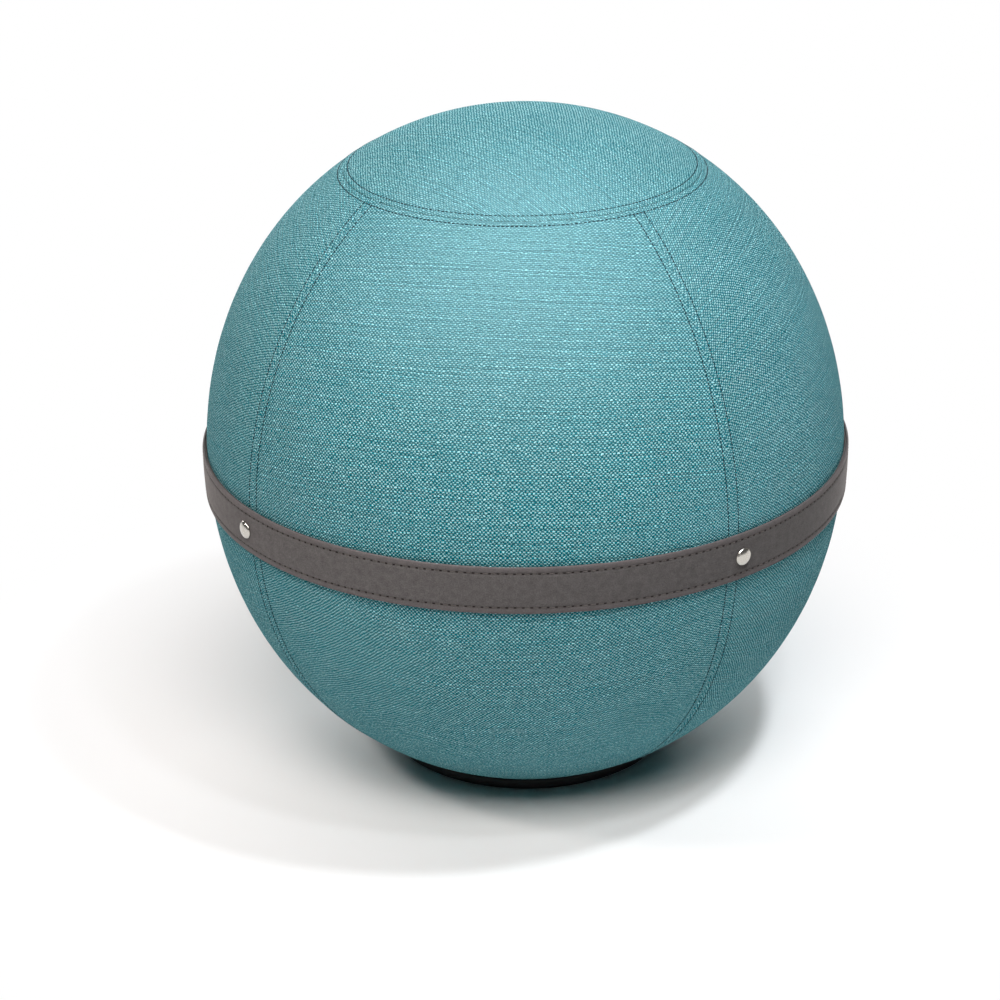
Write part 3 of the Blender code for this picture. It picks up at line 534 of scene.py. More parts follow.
cover_cloth = plain_weave(
    "teal_melange_plain_weave", "#036d79", "#7ab9bf", "#a2cfd3", "#7cafb7", YARN_PITCH, 0.0006
)
first_row = RING_LENGTH + GAP / 2
panel_lengths = np.concatenate(
    [first_row + EDGE_STEPS[:-1], np.linspace(first_row + EDGE_STEPS[-1], BASE_LENGTH, ROWS_BELOW_EDGE)]
)
edge_columns = len(EDGE_STEPS)
panel_columns = 2 * edge_columns + MIDDLE_COLUMNS
for side, degrees in PANEL_TURNS.items():
    panel, column, row = grid_piece("cover_panel_" + side, panel_columns, len(panel_lengths))
    lengths = panel_lengths[row]
    radius = skin(turn_down(lengths))[0]
    shut = np.full_like(lengths, GAP / 2)
    low_edge = radius * math.pi / 4 - (zip_gap(lengths) if side == "back" else shut)
    high_edge = radius * math.pi / 4 - (zip_gap(lengths) if side == "right" else shut)
    from_low = np.minimum(column, edge_columns - 1)
    from_high = np.minimum(panel_columns - 1 - column, edge_columns - 1)
    middle = (column - edge_columns + 1) / (MIDDLE_COLUMNS + 1)
    inner_low, inner_high = -low_edge + EDGE_STEPS[-1], high_edge - EDGE_STEPS[-1]
    across = np.where(
        column < edge_columns, -low_edge + EDGE_STEPS[from_low],
        np.where(
            column >= panel_columns - edge_columns, high_edge - EDGE_STEPS[from_high],
            inner_low + (inner_high - inner_low) * middle,
        ),
    )
    beside_edge = np.minimum(across + low_edge, high_edge - across)
    below_ring = lengths - first_row
    at_side, at_ring = seam_height(lengths, beside_edge), seam_height(across, below_ring)
    clear = (below_ring > EDGE_STEPS[-2]) | (beside_edge > EDGE_STEPS[-2])
    lift = np.where(clear, at_side + at_ring, np.minimum(at_side, at_ring))
    move_points(panel, on_ball(lengths, math.radians(degrees), across, lift + belt_dent(lengths)))
    # The cut is flat: its weft rows bow down towards the seams as the gore closes on the ball,
    # less so above the middle, where the seat pulls them level, and least of all in front.
    local = on_ball(lengths, math.pi / 2, across, 0.0) - (0, 0, EQUATOR)
    local /= (BALL_RADIUS, BALL_RADIUS, CROWN_RISE)
    local /= np.linalg.norm(local, axis=1, keepdims=True)
    level = FRONT_LEVEL if side == "front" else SIDE_LEVEL
    level = level * smooth_step(local[:, 2] / LEVEL_FROM)
    rise = np.arctan2(local[:, 2], local[:, 0]) * (1 - level) + np.arcsin(local[:, 2]) * level
    lay_cloth(panel, np.arcsin(local[:, 1]) * BALL_RADIUS, rise * (BALL_RADIUS + CROWN_RISE) / 2)
    give_wall(panel, CLOTH_THICKNESS)
    panel.data.materials.append(cover_cloth)
    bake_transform(panel)
    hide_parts("panel_" + side)

# Topstitching: dark slate polyester thread, lockstitched in twin rows beside every seam.
# Each stitch stands proud in the middle and dives into the cloth at its two needle holes.
STITCH_PITCH, STITCH_SHARE, THREAD, THREAD_LIFT = 0.0036, 0.96, 0.0010, 0.00022
ROW_BELOW_RING, ROW_ABOVE_BASE, ROW_UNDER_BELT, OPENING_SHARE = 0.0015, 0.004, 0.002, 0.55
STITCH_CUTS, END_NARROWS, END_DIVES = (-0.36, -0.18, 0.0, 0.18, 0.36), 0.45, 0.85


def cut_across(places):
    """Cuts the piece just made across X at each of these places."""
    bpy.ops.object.mode_set(mode="EDIT")
    for place in places:
        bpy.ops.mesh.select_all(action="SELECT")
        bpy.ops.mesh.bisect(plane_co=(place, 0, 0), plane_no=(1, 0, 0))
    bpy.ops.object.mode_set(mode="OBJECT")


def one_stitch(length, thickness):
    """A short thread along X: a six-sided bar whose ends dip under the surface and narrow."""
    bpy.ops.mesh.primitive_cylinder_add(
        vertices=6, radius=thickness / 2, depth=length, rotation=(0, math.pi / 2, 0)
    )
    bar = bpy.context.object
    bpy.ops.object.transform_apply(location=False, rotation=True, scale=False)
    cut_across([cut * length for cut in STITCH_CUTS])
    points = points_of(bar)
    out_along = np.abs(points[:, 0]) / (length / 2)
    points[:, 1:] *= (1 - END_NARROWS * out_along**4)[:, None]
    points[:, 2] -= END_DIVES * thickness * out_along**3
    faces = [tuple(face.vertices) for face in bar.data.polygons]
    bpy.data.objects.remove(bar)
    return points, faces


def sew(name, shape, places, along, out, thread):
    """Copies of one stitch at these places, as one piece. along and out are unit vectors."""
    points, faces = shape
    sideways = np.cross(out, along)
    moved = (
        places[:, None]
        + points[None, :, :1] * along[:, None]
        + points[None, :, 1:2] * sideways[:, None]
        + points[None, :, 2:] * out[:, None]
    )
    count = len(points)
    copies = [tuple(v + k * count for v in face) for k in range(len(places)) for face in faces]
    row = bpy.data.meshes.new(name)
    row.from_pydata(moved.reshape(-1, 3).tolist(), [], copies)
    row.shade_smooth()
    row.materials.append(thread)
    piece = bpy.data.objects.new(name, row)
    bpy.context.scene.collection.objects.link(piece)
    return piece


def unit(vectors):
    return vectors / np.linalg.norm(vectors, axis=1, keepdims=True)


# Two-ply polyester thread: a soft gloss, and a twist at 0.8 mm that breaks the tone along it.
slate_thread, shader = finish_named("slate_polyester_thread", Roughness=0.7, Specular_IOR_Level=0.2)
place = put(slate_thread, "TexCoord", {}, "Object")
ply = put(slate_thread, "TexNoise", {"Vector": place, "Scale": 1 / 0.0008, "Detail": 1.0})
mottle(slate_thread, shader, ply, (0.3, "#0e1f26"), (0.75, "#1f3a43"))

stitch = one_stitch(STITCH_PITCH * STITCH_SHARE, THREAD)
row_start = RING_LENGTH + STITCH_BESIDE_SEAM + ROW_BELOW_RING
row_lengths = np.arange(row_start, BASE_LENGTH - ROW_ABOVE_BASE, STITCH_PITCH)
under_belt = np.abs(row_lengths - belt_length) < BELT_WIDTH / 2 - ROW_UNDER_BELT
for seam, degrees in SEAM_TURNS.items():
    rows = []
    opening = zip_gap(row_lengths) if seam == "rear_right" else np.full_like(row_lengths, GAP / 2)
    aside = STITCH_BESIDE_SEAM + opening * OPENING_SHARE
    lift = np.interp(aside - opening, EDGE_STEPS, EDGE_LIFT) + THREAD_LIFT + belt_dent(row_lengths)
    for hand in (-1, 1):
        azimuth, across = math.radians(degrees), hand * aside
        places = on_ball(row_lengths, azimuth, across, lift)
        ahead = on_ball(row_lengths + 1e-4, azimuth, across, lift)
        outer = on_ball(row_lengths, azimuth, across, lift + 1e-3)
        rows.append([v[~under_belt] for v in (places, unit(ahead - places), unit(outer - places))])
    places, along, out = (np.concatenate(v) for v in zip(*rows))
    out = unit(out - along * np.sum(out * along, axis=1, keepdims=True))
    threads = sew("stitching_" + seam, stitch, places, along, out, slate_thread)
    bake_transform(threads)

# Top panel: a round of the same cloth, its yarns aslant on the ball, sewn into the four gores.
# It is the seat, so it goes down with whoever sits, and its ring seam has its own twin stitching.
DISC_STEPS, DISC_WEAVE = 96, math.radians(34)
disc, column, row = grid_piece("cover_panel_top", DISC_STEPS + 1, DISC_STEPS + 1)
# The square grid is wrapped into rings: each vertex's ring, and its turn round the ring.
first, second = column / DISC_STEPS * 2 - 1, row / DISC_STEPS * 2 - 1
wide = np.abs(first) > np.abs(second)
reach = np.where(wide, first, second)
with np.errstate(divide="ignore", invalid="ignore"):
    disc_turn = np.where(
        wide, math.pi / 4 * second / first, math.pi / 2 - math.pi / 4 * first / second
    )
disc_turn = np.where(reach == 0, 0.0, disc_turn) + np.where(reach < 0, math.pi, 0.0)
rim = RING_LENGTH - GAP / 2
rings = DISC_STEPS // 2
even = rings - len(EDGE_STEPS) + 1
ring_lengths = np.concatenate(
    [np.linspace(0, rim - EDGE_STEPS[-1], even + 1), rim - EDGE_STEPS[-2::-1]]
)
disc_length = np.interp(np.abs(reach) * rings, np.arange(rings + 1), ring_lengths)
disc_lift = seam_height(disc_turn * TOP_SEAM_RADIUS, rim - disc_length)
radius, height = skin(turn_down(disc_length), disc_lift)
move_points(disc, around(radius, disc_turn, height))
lay_cloth(
    disc, disc_length * np.sin(disc_turn + DISC_WEAVE), disc_length * np.cos(disc_turn + DISC_WEAVE)
)
give_wall(disc, CLOTH_THICKNESS)
disc.data.materials.append(cover_cloth)
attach(disc, "seat")
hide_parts("top_panel")


def ring_of_stitches(count, start, length, lift):
    """Places, ways along and ways out of a level ring of stitches, this far down the skin."""
    azimuths = (np.arange(count) + start) / count * 2 * math.pi
    level = np.full(count, length)
    places = on_ball(level, azimuths, 0.0, lift)
    outer = on_ball(level, azimuths, 0.0, lift + 1e-3)
    along = np.stack([np.cos(azimuths), np.sin(azimuths), 0 * azimuths], axis=1)
    return places, along, unit(outer - places)


ring_lift = float(np.interp(STITCH_BESIDE_SEAM, EDGE_STEPS, EDGE_LIFT)) + THREAD_LIFT
for name, aside in (("inner", -STITCH_BESIDE_SEAM), ("outer", STITCH_BESIDE_SEAM)):
    length = RING_LENGTH + aside
    count = round(2 * math.pi * float(skin(turn_down(length))[0]) / STITCH_PITCH)
    ring = ring_of_stitches(count, 0.0, length, ring_lift)
    threads = sew("stitching_top_" + name, stitch, *ring, slate_thread)
    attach(threads, "seat")

# Belt: a strap of taupe suede over a thinner lining, both laid round the ball and riveted through.
# The face's edges are rolled, it is stitched to the lining along both, and its ends butt at the back.
BELT_STITCHES, BELT_STITCH_IN, BELT_GROOVE = 272, 0.0054, 0.0005
LINING_BOTTOM, LINING_TOP, FACE_BOTTOM, FACE_TOP = GAP, 0.0017, 0.0020, 0.0036
LINING_IN, LINING_ROUND = 0.0010, 0.0005
BELT_SIDES = 544
BUTT_HALF, BUTT_DEPTH, BUTT_FROM = 0.0007, 0.0009, (FACE_BOTTOM + FACE_TOP) / 2 - 0.0012
RIVET_BESIDE = 0.0072 / BALL_RADIUS
RIVET_DRAW, RIVET_DRAW_REACH = 0.00045, 0.0085
rivet_turns = {
    "front_right": math.radians(45) + RIVET_BESIDE,
    "rear_right": math.radians(135) - RIVET_BESIDE,
    "rear_left": math.radians(-135) + RIVET_BESIDE,
    "front_left": math.radians(-45) - RIVET_BESIDE,
}


def strap(name, section, butt):
    """A ring of this closed (down from its middle, out) section, and its points, grooved where its
    ends butt: behind for 1, in front for -1."""
    down, out = (np.array(v) for v in zip(*section))
    radii, heights = skin(turn_down(belt_length + down), out)
    profile = list(zip(radii.tolist(), heights.tolist()))
    piece = lathe(name, profile + profile[:1], BELT_SIDES)
    cut_across((-BUTT_HALF, 0.0, BUTT_HALF))
    points = points_of(piece)
    ends = (np.abs(points[:, 0]) < 1e-6) & (points[:, 1] * butt > 0)
    outside = np.hypot(points[:, 0], points[:, 1]) > BALL_RADIUS + BUTT_FROM
    points[ends & outside, 1] -= BUTT_DEPTH * butt
    return piece, points


def lay_strap(piece, points):
    """Moves the strap's points here and gives it its own map: metres round it from the front, and
    metres down from its middle."""
    move_points(piece, points)
    corners = corners_of(piece)
    turn = np.arctan2(points[:, 0], -points[:, 1])[corners]
    starts = np.array([face.loop_start for face in piece.data.polygons])
    totals = np.array([face.loop_total for face in piece.data.polygons])
    lead = np.repeat(turn[starts], totals)
    turn += 2 * math.pi * np.rint((lead - turn) / (2 * math.pi))
    lay_map(piece, "strap", turn * (BALL_RADIUS + FACE_TOP), BELT_HEIGHT - points[:, 2][corners])


half = BELT_WIDTH / 2
lining_half = half - LINING_IN
lining_down = np.linspace(-lining_half, lining_half, 9)
lining_section = [
    (d, LINING_TOP - (LINING_ROUND if abs(d) > lining_half - 1e-6 else 0)) for d in lining_down
]
lining_section += [(d, LINING_BOTTOM) for d in lining_down[::-1]]
lining, lining_points = strap("belt_lining_strap", lining_section, -1)
lay_strap(lining, lining_points)

# Lining: brown split leather, the fibrous side out, which shows only as a dark edge.
split_leather, shader = finish_named("brown_split_leather", Roughness=0.85, Sheen_Weight=0.1)
strap_map = put(split_leather, "UVMap", {}, uv_map="strap")
fibre = put(split_leather, "TexNoise", {"Vector": strap_map, "Scale": 1 / 0.0012, "Detail": 4.0})
mottle(split_leather, shader, fibre, (0.3, "#3c3533"), (0.7, "#57504d"), (0.5, 0.0003))
lining.data.materials.append(split_leather)
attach(lining, "ball")
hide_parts("belt_lining")

# From the middle of the belt to one edge: (down, out) with the stitch groove and the rolled edge.
groove = half - BELT_STITCH_IN
face_half = [
    (0.0, FACE_TOP), (0.005, FACE_TOP), (0.010, FACE_TOP), (groove - 0.0022, FACE_TOP),
    (groove - 0.0013, FACE_TOP - 0.00008), (groove - 0.0006, FACE_TOP - BELT_GROOVE * 0.75),
    (groove, FACE_TOP - BELT_GROOVE), (groove + 0.0006, FACE_TOP - BELT_GROOVE * 0.75),
    (groove + 0.0013, FACE_TOP), (groove + 0.0022, FACE_TOP + 0.00008),
    (half - 0.0014, FACE_TOP + 0.00008), (half - 0.0007, FACE_TOP - 0.00004),
    (half - 0.0003, FACE_TOP - 0.00024), (half, FACE_TOP - 0.0007),
    (half, FACE_TOP - 0.0012), (half - 0.0003, FACE_BOTTOM),
]
face_section = [(-d, o) for d, o in face_half[:0:-1]] + face_half
face_section += [(d, FACE_BOTTOM) for d in np.linspace(half - 0.004, -half + 0.004, 5)]
belt, belt_points = strap("belt_face_strap", face_section, 1)
# The rivets draw the suede down round their caps.
radius, height = skin(turn_down(belt_length), FACE_TOP)
for turn in rivet_turns.values():
    from_rivet = np.linalg.norm(belt_points - around(radius, np.array(turn), height), axis=1)
    draw = RIVET_DRAW * np.exp(-((from_rivet / RIVET_DRAW_REACH) ** 2))
    belt_points[:, :2] -= unit(belt_points[:, :2]) * draw[:, None]
lay_strap(belt, belt_points)

# Taupe suede: a short brushed nap, mottled where it has been stroked, lighter on the rolled edges.
# The needle holes are painted shade: dark dots between the stitches, at the stitches' own pitch.
suede, shader = finish_named(
    "brushed_taupe_suede", Roughness=0.92, Specular_IOR_Level=0.25, Sheen_Weight=0.35,
    Sheen_Roughness=0.4, Sheen_Tint=linear("#b5aaa5"),
)
strap_map = put(suede, "UVMap", {}, uv_map="strap")
stroked = put(
    suede, "TexNoise", {"Vector": strap_map, "Scale": 1 / 0.006, "Detail": 6.0, "Roughness": 0.7}
)
stroked = put(suede, "MapRange", {"Value": stroked, 1: 0.30, 2: 0.72})
colour = put(
    suede, "Mix", {0: stroked, 6: linear("#544f4f"), 7: linear("#6a6564")}, 2, data_type="RGBA"
)
nap = put(suede, "TexNoise", {"Vector": strap_map, "Scale": 1 / 0.0011, "Detail": 3.0})
fine = put(suede, "MapRange", {"Value": nap, 1: 0.3, 2: 0.7, 3: 0.80, 4: 1.20})
# Painted light and shade: the strap is painted lighter on its left flank and darker on its right, as the
# light falls on it.
flat = put(suede, "SeparateXYZ", {0: strap_map}).node.outputs
painted_flank_light = put(suede, "Math", {0: flat["X"], 1: 1 / BALL_RADIUS}, operation="MULTIPLY")
painted_flank_light = put(suede, "Math", {0: painted_flank_light}, operation="SINE")
painted_flank_light = put(suede, "MapRange", {"Value": painted_flank_light, 1: -1.0, 2: 1.0, 3: 1.26, 4: 0.70})
for share in (fine, painted_flank_light):
    colour = put(
        suede, "Mix", {0: 1.0, 6: colour, 7: share}, 2, data_type="RGBA", blend_type="MULTIPLY"
    )
from_middle = put(suede, "Math", {0: flat["Y"]}, operation="ABSOLUTE")
edge = put(suede, "MapRange", {"Value": from_middle, 1: groove, 2: half - 0.0006})
edge = put(suede, "Math", {0: edge, 1: 0.3}, operation="MULTIPLY")
colour = put(suede, "Mix", {0: edge, 6: colour, 7: linear("#75696b")}, 2, data_type="RGBA")
belt_pitch = 2 * math.pi * (BALL_RADIUS + FACE_TOP) / BELT_STITCHES
# Painted shade: dark dots where the needle holes are, with no hole cut.
beside_hole = put(suede, "Math", {0: flat["X"], 1: belt_pitch / 2}, operation="PINGPONG")
beside_row = put(suede, "Math", {0: from_middle, 1: groove}, operation="SUBTRACT")
beside_row = put(suede, "Math", {0: beside_row}, operation="ABSOLUTE")
along_hole = put(suede, "MapRange", {"Value": beside_hole, 1: 0.0008, 2: 0.0013, 3: 1.0, 4: 0.0})
across_hole = put(suede, "MapRange", {"Value": beside_row, 1: 0.0004, 2: 0.0009, 3: 1.0, 4: 0.0})
needle_hole_shade = put(suede, "Math", {0: along_hole, 1: across_hole}, operation="MULTIPLY")
colour = put(suede, "Mix", {0: needle_hole_shade, 6: colour, 7: linear("#1b1412")}, 2, data_type="RGBA")
suede.node_tree.links.new(colour, shader.inputs["Base Color"])
relief = put(suede, "Bump", {"Height": nap, "Strength": 0.45, "Distance": 0.0004})
suede.node_tree.links.new(relief, shader.inputs["Normal"])
belt.data.materials.append(suede)
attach(belt, "ball")
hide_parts("belt_face")

# Belt stitching: waxed thread a shade darker than the suede, one row along each edge.
# Its stitches lie in the belt's grooves, shorter than their pitch, so the needle holes show.
BELT_THREAD, BELT_STITCH_SHARE, BELT_THREAD_LIFT = 0.0009, 0.70, 0.00028
taupe_thread, shader = finish_named("waxed_taupe_thread", Roughness=0.55)
place = put(taupe_thread, "TexCoord", {}, "Object")
ply = put(taupe_thread, "TexNoise", {"Vector": place, "Scale": 1 / 0.0009, "Detail": 1.0})
mottle(taupe_thread, shader, ply, (0.3, "#463e3b"), (0.7, "#5d5552"))
belt_stitch = one_stitch(belt_pitch * BELT_STITCH_SHARE, BELT_THREAD)
belt_lift = FACE_TOP - BELT_GROOVE + BELT_THREAD_LIFT
belt_rows = [
    ring_of_stitches(BELT_STITCHES, 0.5, belt_length + hand * groove, belt_lift) for hand in (-1, 1)
]
places, along, out = (np.concatenate(v) for v in zip(*belt_rows))
belt_threads = sew("stitching_belt", belt_stitch, places, along, out, taupe_thread)
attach(belt_threads, "ball")

# Rivets: nickel-plated steel caps, pressed to a low dome, each clenched through belt and cover.
# Their washers lie inside the cover, where the CAD has them.
CAP_RADIUS, CAP_LIP, POST_RADIUS, POST_ROUND = 0.0075, 0.0004, 0.0020, 0.0003
CAP_BASE = FACE_TOP + GAP
POST_END = -0.0042
# Bright nickel over a rolled cap: near-mirror, with faint handling marks.
nickel, shader = finish_named("bright_nickel_plate", Metallic=1.0, Base_Color=linear("#cfcac2"))
place = put(nickel, "TexCoord", {}, "Object")
marks = put(nickel, "TexNoise", {"Vector": place, "Scale": 1 / 0.0018, "Detail": 4.0})
smear = put(nickel, "MapRange", {"Value": marks, 1: 0.3, 2: 0.7, 3: 0.18, 4: 0.30})
nickel.node_tree.links.new(smear, shader.inputs["Roughness"])
dimples = put(nickel, "Bump", {"Height": marks, "Strength": 0.05, "Distance": 0.0002})
nickel.node_tree.links.new(dimples, shader.inputs["Normal"])

cap_profile = [
    (0.0, POST_END), (POST_RADIUS - POST_ROUND, POST_END), (POST_RADIUS, POST_END + POST_ROUND),
    (POST_RADIUS, CAP_BASE - CAP_LIP), (CAP_RADIUS - 0.0005, CAP_BASE - CAP_LIP),
    (CAP_RADIUS - 0.0001, CAP_BASE - 0.0001), (CAP_RADIUS, CAP_BASE + 0.0003),
]
# The dome is round to four fifths of its radius and rolls over to the rim from there.
dome_share, dome_tilt, rim_tilt = 0.8, math.radians(28), math.radians(66)
dome = dome_share * CAP_RADIUS / math.sin(dome_tilt)
roll = (1 - dome_share) * CAP_RADIUS / (math.sin(rim_tilt) - math.sin(dome_tilt))
roll_rise = roll * (math.cos(dome_tilt) - math.cos(rim_tilt))
for tilt in np.linspace(rim_tilt, dome_tilt, 8)[:-1]:
    out = dome_share * CAP_RADIUS + roll * (math.sin(tilt) - math.sin(dome_tilt))
    cap_profile.append((out, CAP_BASE + CAP_LIP + roll * (math.cos(tilt) - math.cos(rim_tilt))))
for tilt in np.linspace(dome_tilt, 0.0, 9):
    rise = roll_rise + dome * (math.cos(tilt) - math.cos(dome_tilt))
    cap_profile.append((dome * math.sin(tilt), CAP_BASE + CAP_LIP + rise))


def axes_at(azimuth, length):
    """Down the skin, across it and out of it, at a place on the ball, as a matrix."""
    at = np.array([length])
    point = on_ball(at, azimuth, 0.0, 0.0)[0]
    down = Vector(on_ball(at + 1e-4, azimuth, 0.0, 0.0)[0] - point).normalized()
    out = Vector(on_ball(at, azimuth, 0.0, 1e-3)[0] - point).normalized()
    across = Vector((math.cos(azimuth), math.sin(azimuth), 0))
    axes = Matrix((down, across, out)).transposed().to_4x4()
    return Matrix.Translation(Vector(point)) @ axes


for seam, turn in rivet_turns.items():
    cap = lathe("rivet_" + seam, cap_profile, 48)
    cap.data.transform(axes_at(turn, belt_length))
    cap.data.materials.append(nickel)
    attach(cap, "ball")
    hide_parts("rivet_cap_" + seam)
    recoat("rivet_washer_" + seam, nickel)

# Zip: two woven tapes sewn under the open lengths of the rear seam, a nylon coil along each,
# a cloth guard behind them and a clip at each end. The cover comes off the bladder through it.
ZIP_SEAM = math.radians(135)
TAPE_TOP, TAPE_THICKNESS, TAPE_UNDERLAP = -CLOTH_THICKNESS - 0.0004, 0.0007, 0.008
GUARD_HALF, GUARD_THICKNESS = 0.010, 0.0006
GUARD_TOP = TAPE_TOP - TAPE_THICKNESS - GAP
COIL_OUTER, COIL_HOOK, COIL_END = 0.00165, 0.0007, 0.0006
COIL_MIDDLE, COIL_THREAD, COIL_PITCH = -0.0009, 0.0009, 0.0016
zip_lengths = np.linspace(ZIP_TOP, ZIP_BOTTOM, 90)
for hand, sign in (("right", -1), ("left", 1)):
    inner, outer = sign * (COIL_OUTER + GAP), sign * (ZIP_OPENING + TAPE_UNDERLAP)
    tape = strip(
        "zip_tape_cloth_" + hand, ZIP_SEAM, zip_lengths, min(inner, outer), max(inner, outer),
        TAPE_TOP, 9, TAPE_THICKNESS,
    )
    tape.data.materials.append(tape_cotton)
    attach(tape, "ball")
    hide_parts("zip_tape_" + hand)
guard = strip(
    "zip_guard_cloth", ZIP_SEAM, zip_lengths, -GUARD_HALF, GUARD_HALF, GUARD_TOP, 7, GUARD_THICKNESS
)
guard.data.materials.append(black_cloth)
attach(guard, "ball")
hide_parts("zip_guard")

# Nylon coil: each turn shows as a short bar that hooks past the middle between two of the other's.
nylon, shader = finish_named("black_nylon_coil", Roughness=0.38, IOR=1.53)
place = put(nylon, "TexCoord", {}, "Object")
wear = put(nylon, "TexNoise", {"Vector": place, "Scale": 1 / 0.004, "Detail": 3.0})
mottle(nylon, shader, wear, (0.35, "#101213"), (0.75, "#232729"))
coil_bar = one_stitch(COIL_OUTER + COIL_HOOK, COIL_THREAD)
for hand, sign in (("right", -1), ("left", 1)):
    shift = 0.0 if sign < 0 else COIL_PITCH / 2
    turns = np.arange(ZIP_TOP + COIL_END + shift, ZIP_BOTTOM - COIL_END, COIL_PITCH)
    middle = sign * (COIL_OUTER - COIL_HOOK) / 2
    places = on_ball(turns, ZIP_SEAM, middle, COIL_MIDDLE)
    outer = on_ball(turns, ZIP_SEAM, middle, COIL_MIDDLE + 1e-3)
    along = np.tile([math.cos(ZIP_SEAM), math.sin(ZIP_SEAM), 0.0], (len(turns), 1))
    out = unit(outer - places)
    along = unit(along - out * np.sum(along * out, axis=1, keepdims=True))
    coil = sew("zip_coil_turns_" + hand, coil_bar, places, along, out, nylon)
    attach(coil, "ball")
    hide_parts("zip_coil_" + hand)


def rounded_block(name, low, high, rounding):
    """A cube between two corners, in the axes of the place that it goes to, its edges rounded."""
    bpy.ops.mesh.primitive_cube_add(size=1.0)
    piece = bpy.context.object
    piece.name = piece.data.name = name
    low, high = Vector(low), Vector(high)
    piece.scale, piece.location = high - low, (low + high) / 2
    bpy.ops.object.transform_apply(location=True, rotation=False, scale=True)
    bpy.ops.object.mode_set(mode="EDIT")
    bpy.ops.mesh.select_all(action="SELECT")
    bpy.ops.mesh.bevel(offset=rounding, segments=3, affect="EDGES")
    bpy.ops.object.mode_set(mode="OBJECT")
    bpy.ops.object.shade_smooth_by_angle(angle=math.radians(50))
    return piece


def merged(pieces):
    """Joins the pieces into the first of them."""
    bpy.ops.object.select_all(action="DESELECT")
    for piece in pieces:
        piece.select_set(True)
    bpy.context.view_layer.objects.active = pieces[0]
    bpy.ops.object.join()
    return pieces[0]


# End clips: a plate across the tapes under a narrower bar. Heights are from the cover's skin.
STOP_LENGTH, STOP_HALF, STOP_BOTTOM, STOP_TOP = 0.0030, 0.0030, -0.0024, -0.0011
BAR_IN, BAR_HALF, BAR_BOTTOM, BAR_TOP = 0.0006, 0.0026, -0.0016, -0.0002
for name, length, way in (("top", ZIP_TOP, -1), ("bottom", ZIP_BOTTOM, 1)):
    near, far = sorted((way * GAP, way * (GAP + STOP_LENGTH)))
    plate = rounded_block(
        "zip_clip_" + name, (near, -STOP_HALF, STOP_BOTTOM), (far, STOP_HALF, STOP_TOP), 0.0004
    )
    bar = rounded_block(
        "bar", (near + BAR_IN, -BAR_HALF, BAR_BOTTOM), (far - BAR_IN, BAR_HALF, BAR_TOP), 0.0005
    )
    clip = merged([plate, bar])
    clip.data.transform(axes_at(ZIP_SEAM, length))
    clip.data.materials.append(nickel)
    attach(clip, "ball")
    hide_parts("zip_%s_stop" % name)

# Slider and pull: die-cast zinc, nickel plated. The slider straddles the coil under two ears,
# and the pull swings on a pin between them.
SLIDER_LENGTH, SLIDER_HALF, ROOF, ROOF_TOP, SKIRT = 0.0120, 0.0046, 0.0004, 0.0016, -0.0012
SLIDER_WALL, WALL_TOP, SLIDER_FROM_STOP = 0.0012, ROOF + 0.0006, 0.0006
EAR_TOP, EAR_IN, EAR_OUT, EAR_HALF = 0.0044, 0.0015, 0.0027, 0.0017
slider_length = ZIP_TOP + GAP + SLIDER_LENGTH / 2 + SLIDER_FROM_STOP
slider_axes = axes_at(ZIP_SEAM, slider_length)
end, side, wall = SLIDER_LENGTH / 2, SLIDER_HALF, SLIDER_HALF - SLIDER_WALL
slider_blocks = {
    "zip_slider_body": ((-end, -side, ROOF), (end, side, ROOF_TOP), 0.0005),
    "wall_a": ((-end, -side, SKIRT), (end, -wall, WALL_TOP), 0.0004),
    "wall_b": ((-end, wall, SKIRT), (end, side, WALL_TOP), 0.0004),
    "ear_a": ((-EAR_HALF, EAR_IN, WALL_TOP), (EAR_HALF, EAR_OUT, EAR_TOP), 0.0005),
    "ear_b": ((-EAR_HALF, -EAR_OUT, WALL_TOP), (EAR_HALF, -EAR_IN, EAR_TOP), 0.0005),
}
slider = merged([rounded_block(name, *block) for name, block in slider_blocks.items()])
slider.data.transform(slider_axes)
slider.data.materials.append(nickel)
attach(slider, "slider")
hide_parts("zip_slider")

PIN_HEIGHT, PIN_RADIUS, PULL_THICKNESS, PULL_ROUND, SQUARENESS = 0.0030, 0.0006, 0.0014, 0.0003, 0.55
# Middle, half length and half width, of the tab and of the hole near its free end.
TAB_MIDDLE, TAB_REACH, TAB_HALF = 0.0155, 0.0125, 0.0040
HOLE_MIDDLE, HOLE_REACH, HOLE_HALF = 0.0215, 0.0036, 0.0019
TAPER_FROM, TAPER_LENGTH, TAPER_SHARE = 0.0075, 0.003, 0.68
NECK_START, NECK_END, NECK_HALF, NECK_RISE, NECK_ROUND = -0.0007, 0.0052, 0.0012, 0.0007, 0.0004
# The tab's outline and its hole are circles pulled to shape and bridged.
bpy.ops.mesh.primitive_circle_add(vertices=40, radius=1.0)
pull = bpy.context.object
pull.name = pull.data.name = "zip_pull_tab"
bpy.ops.object.mode_set(mode="EDIT")
bpy.ops.mesh.primitive_circle_add(vertices=40, radius=0.5)
bpy.ops.mesh.select_all(action="SELECT")
bpy.ops.mesh.bridge_edge_loops()
bpy.ops.object.mode_set(mode="OBJECT")
flat = points_of(pull)
ring = np.hypot(flat[:, 0], flat[:, 1])
ways = flat[:, :2] / ring[:, None]
box_share = 1 / np.abs(ways).max(axis=1)
rounded = ways * (1 - SQUARENESS + SQUARENESS * box_share)[:, None]
tab = rounded * (TAB_REACH, TAB_HALF) + (TAB_MIDDLE, 0.0)
taper = np.clip((TAPER_FROM - tab[:, 0]) / TAPER_LENGTH, 0, 1)
tab[:, 1] *= 1 - TAPER_SHARE * taper
hole_at = ways * (HOLE_REACH, HOLE_HALF) + (HOLE_MIDDLE, 0.0)
flat[:, :2] = np.where(ring[:, None] > 0.75, tab, hole_at)
flat[:, 2] = PIN_HEIGHT - PULL_THICKNESS / 2
move_points(pull, flat)
bpy.ops.object.mode_set(mode="EDIT")
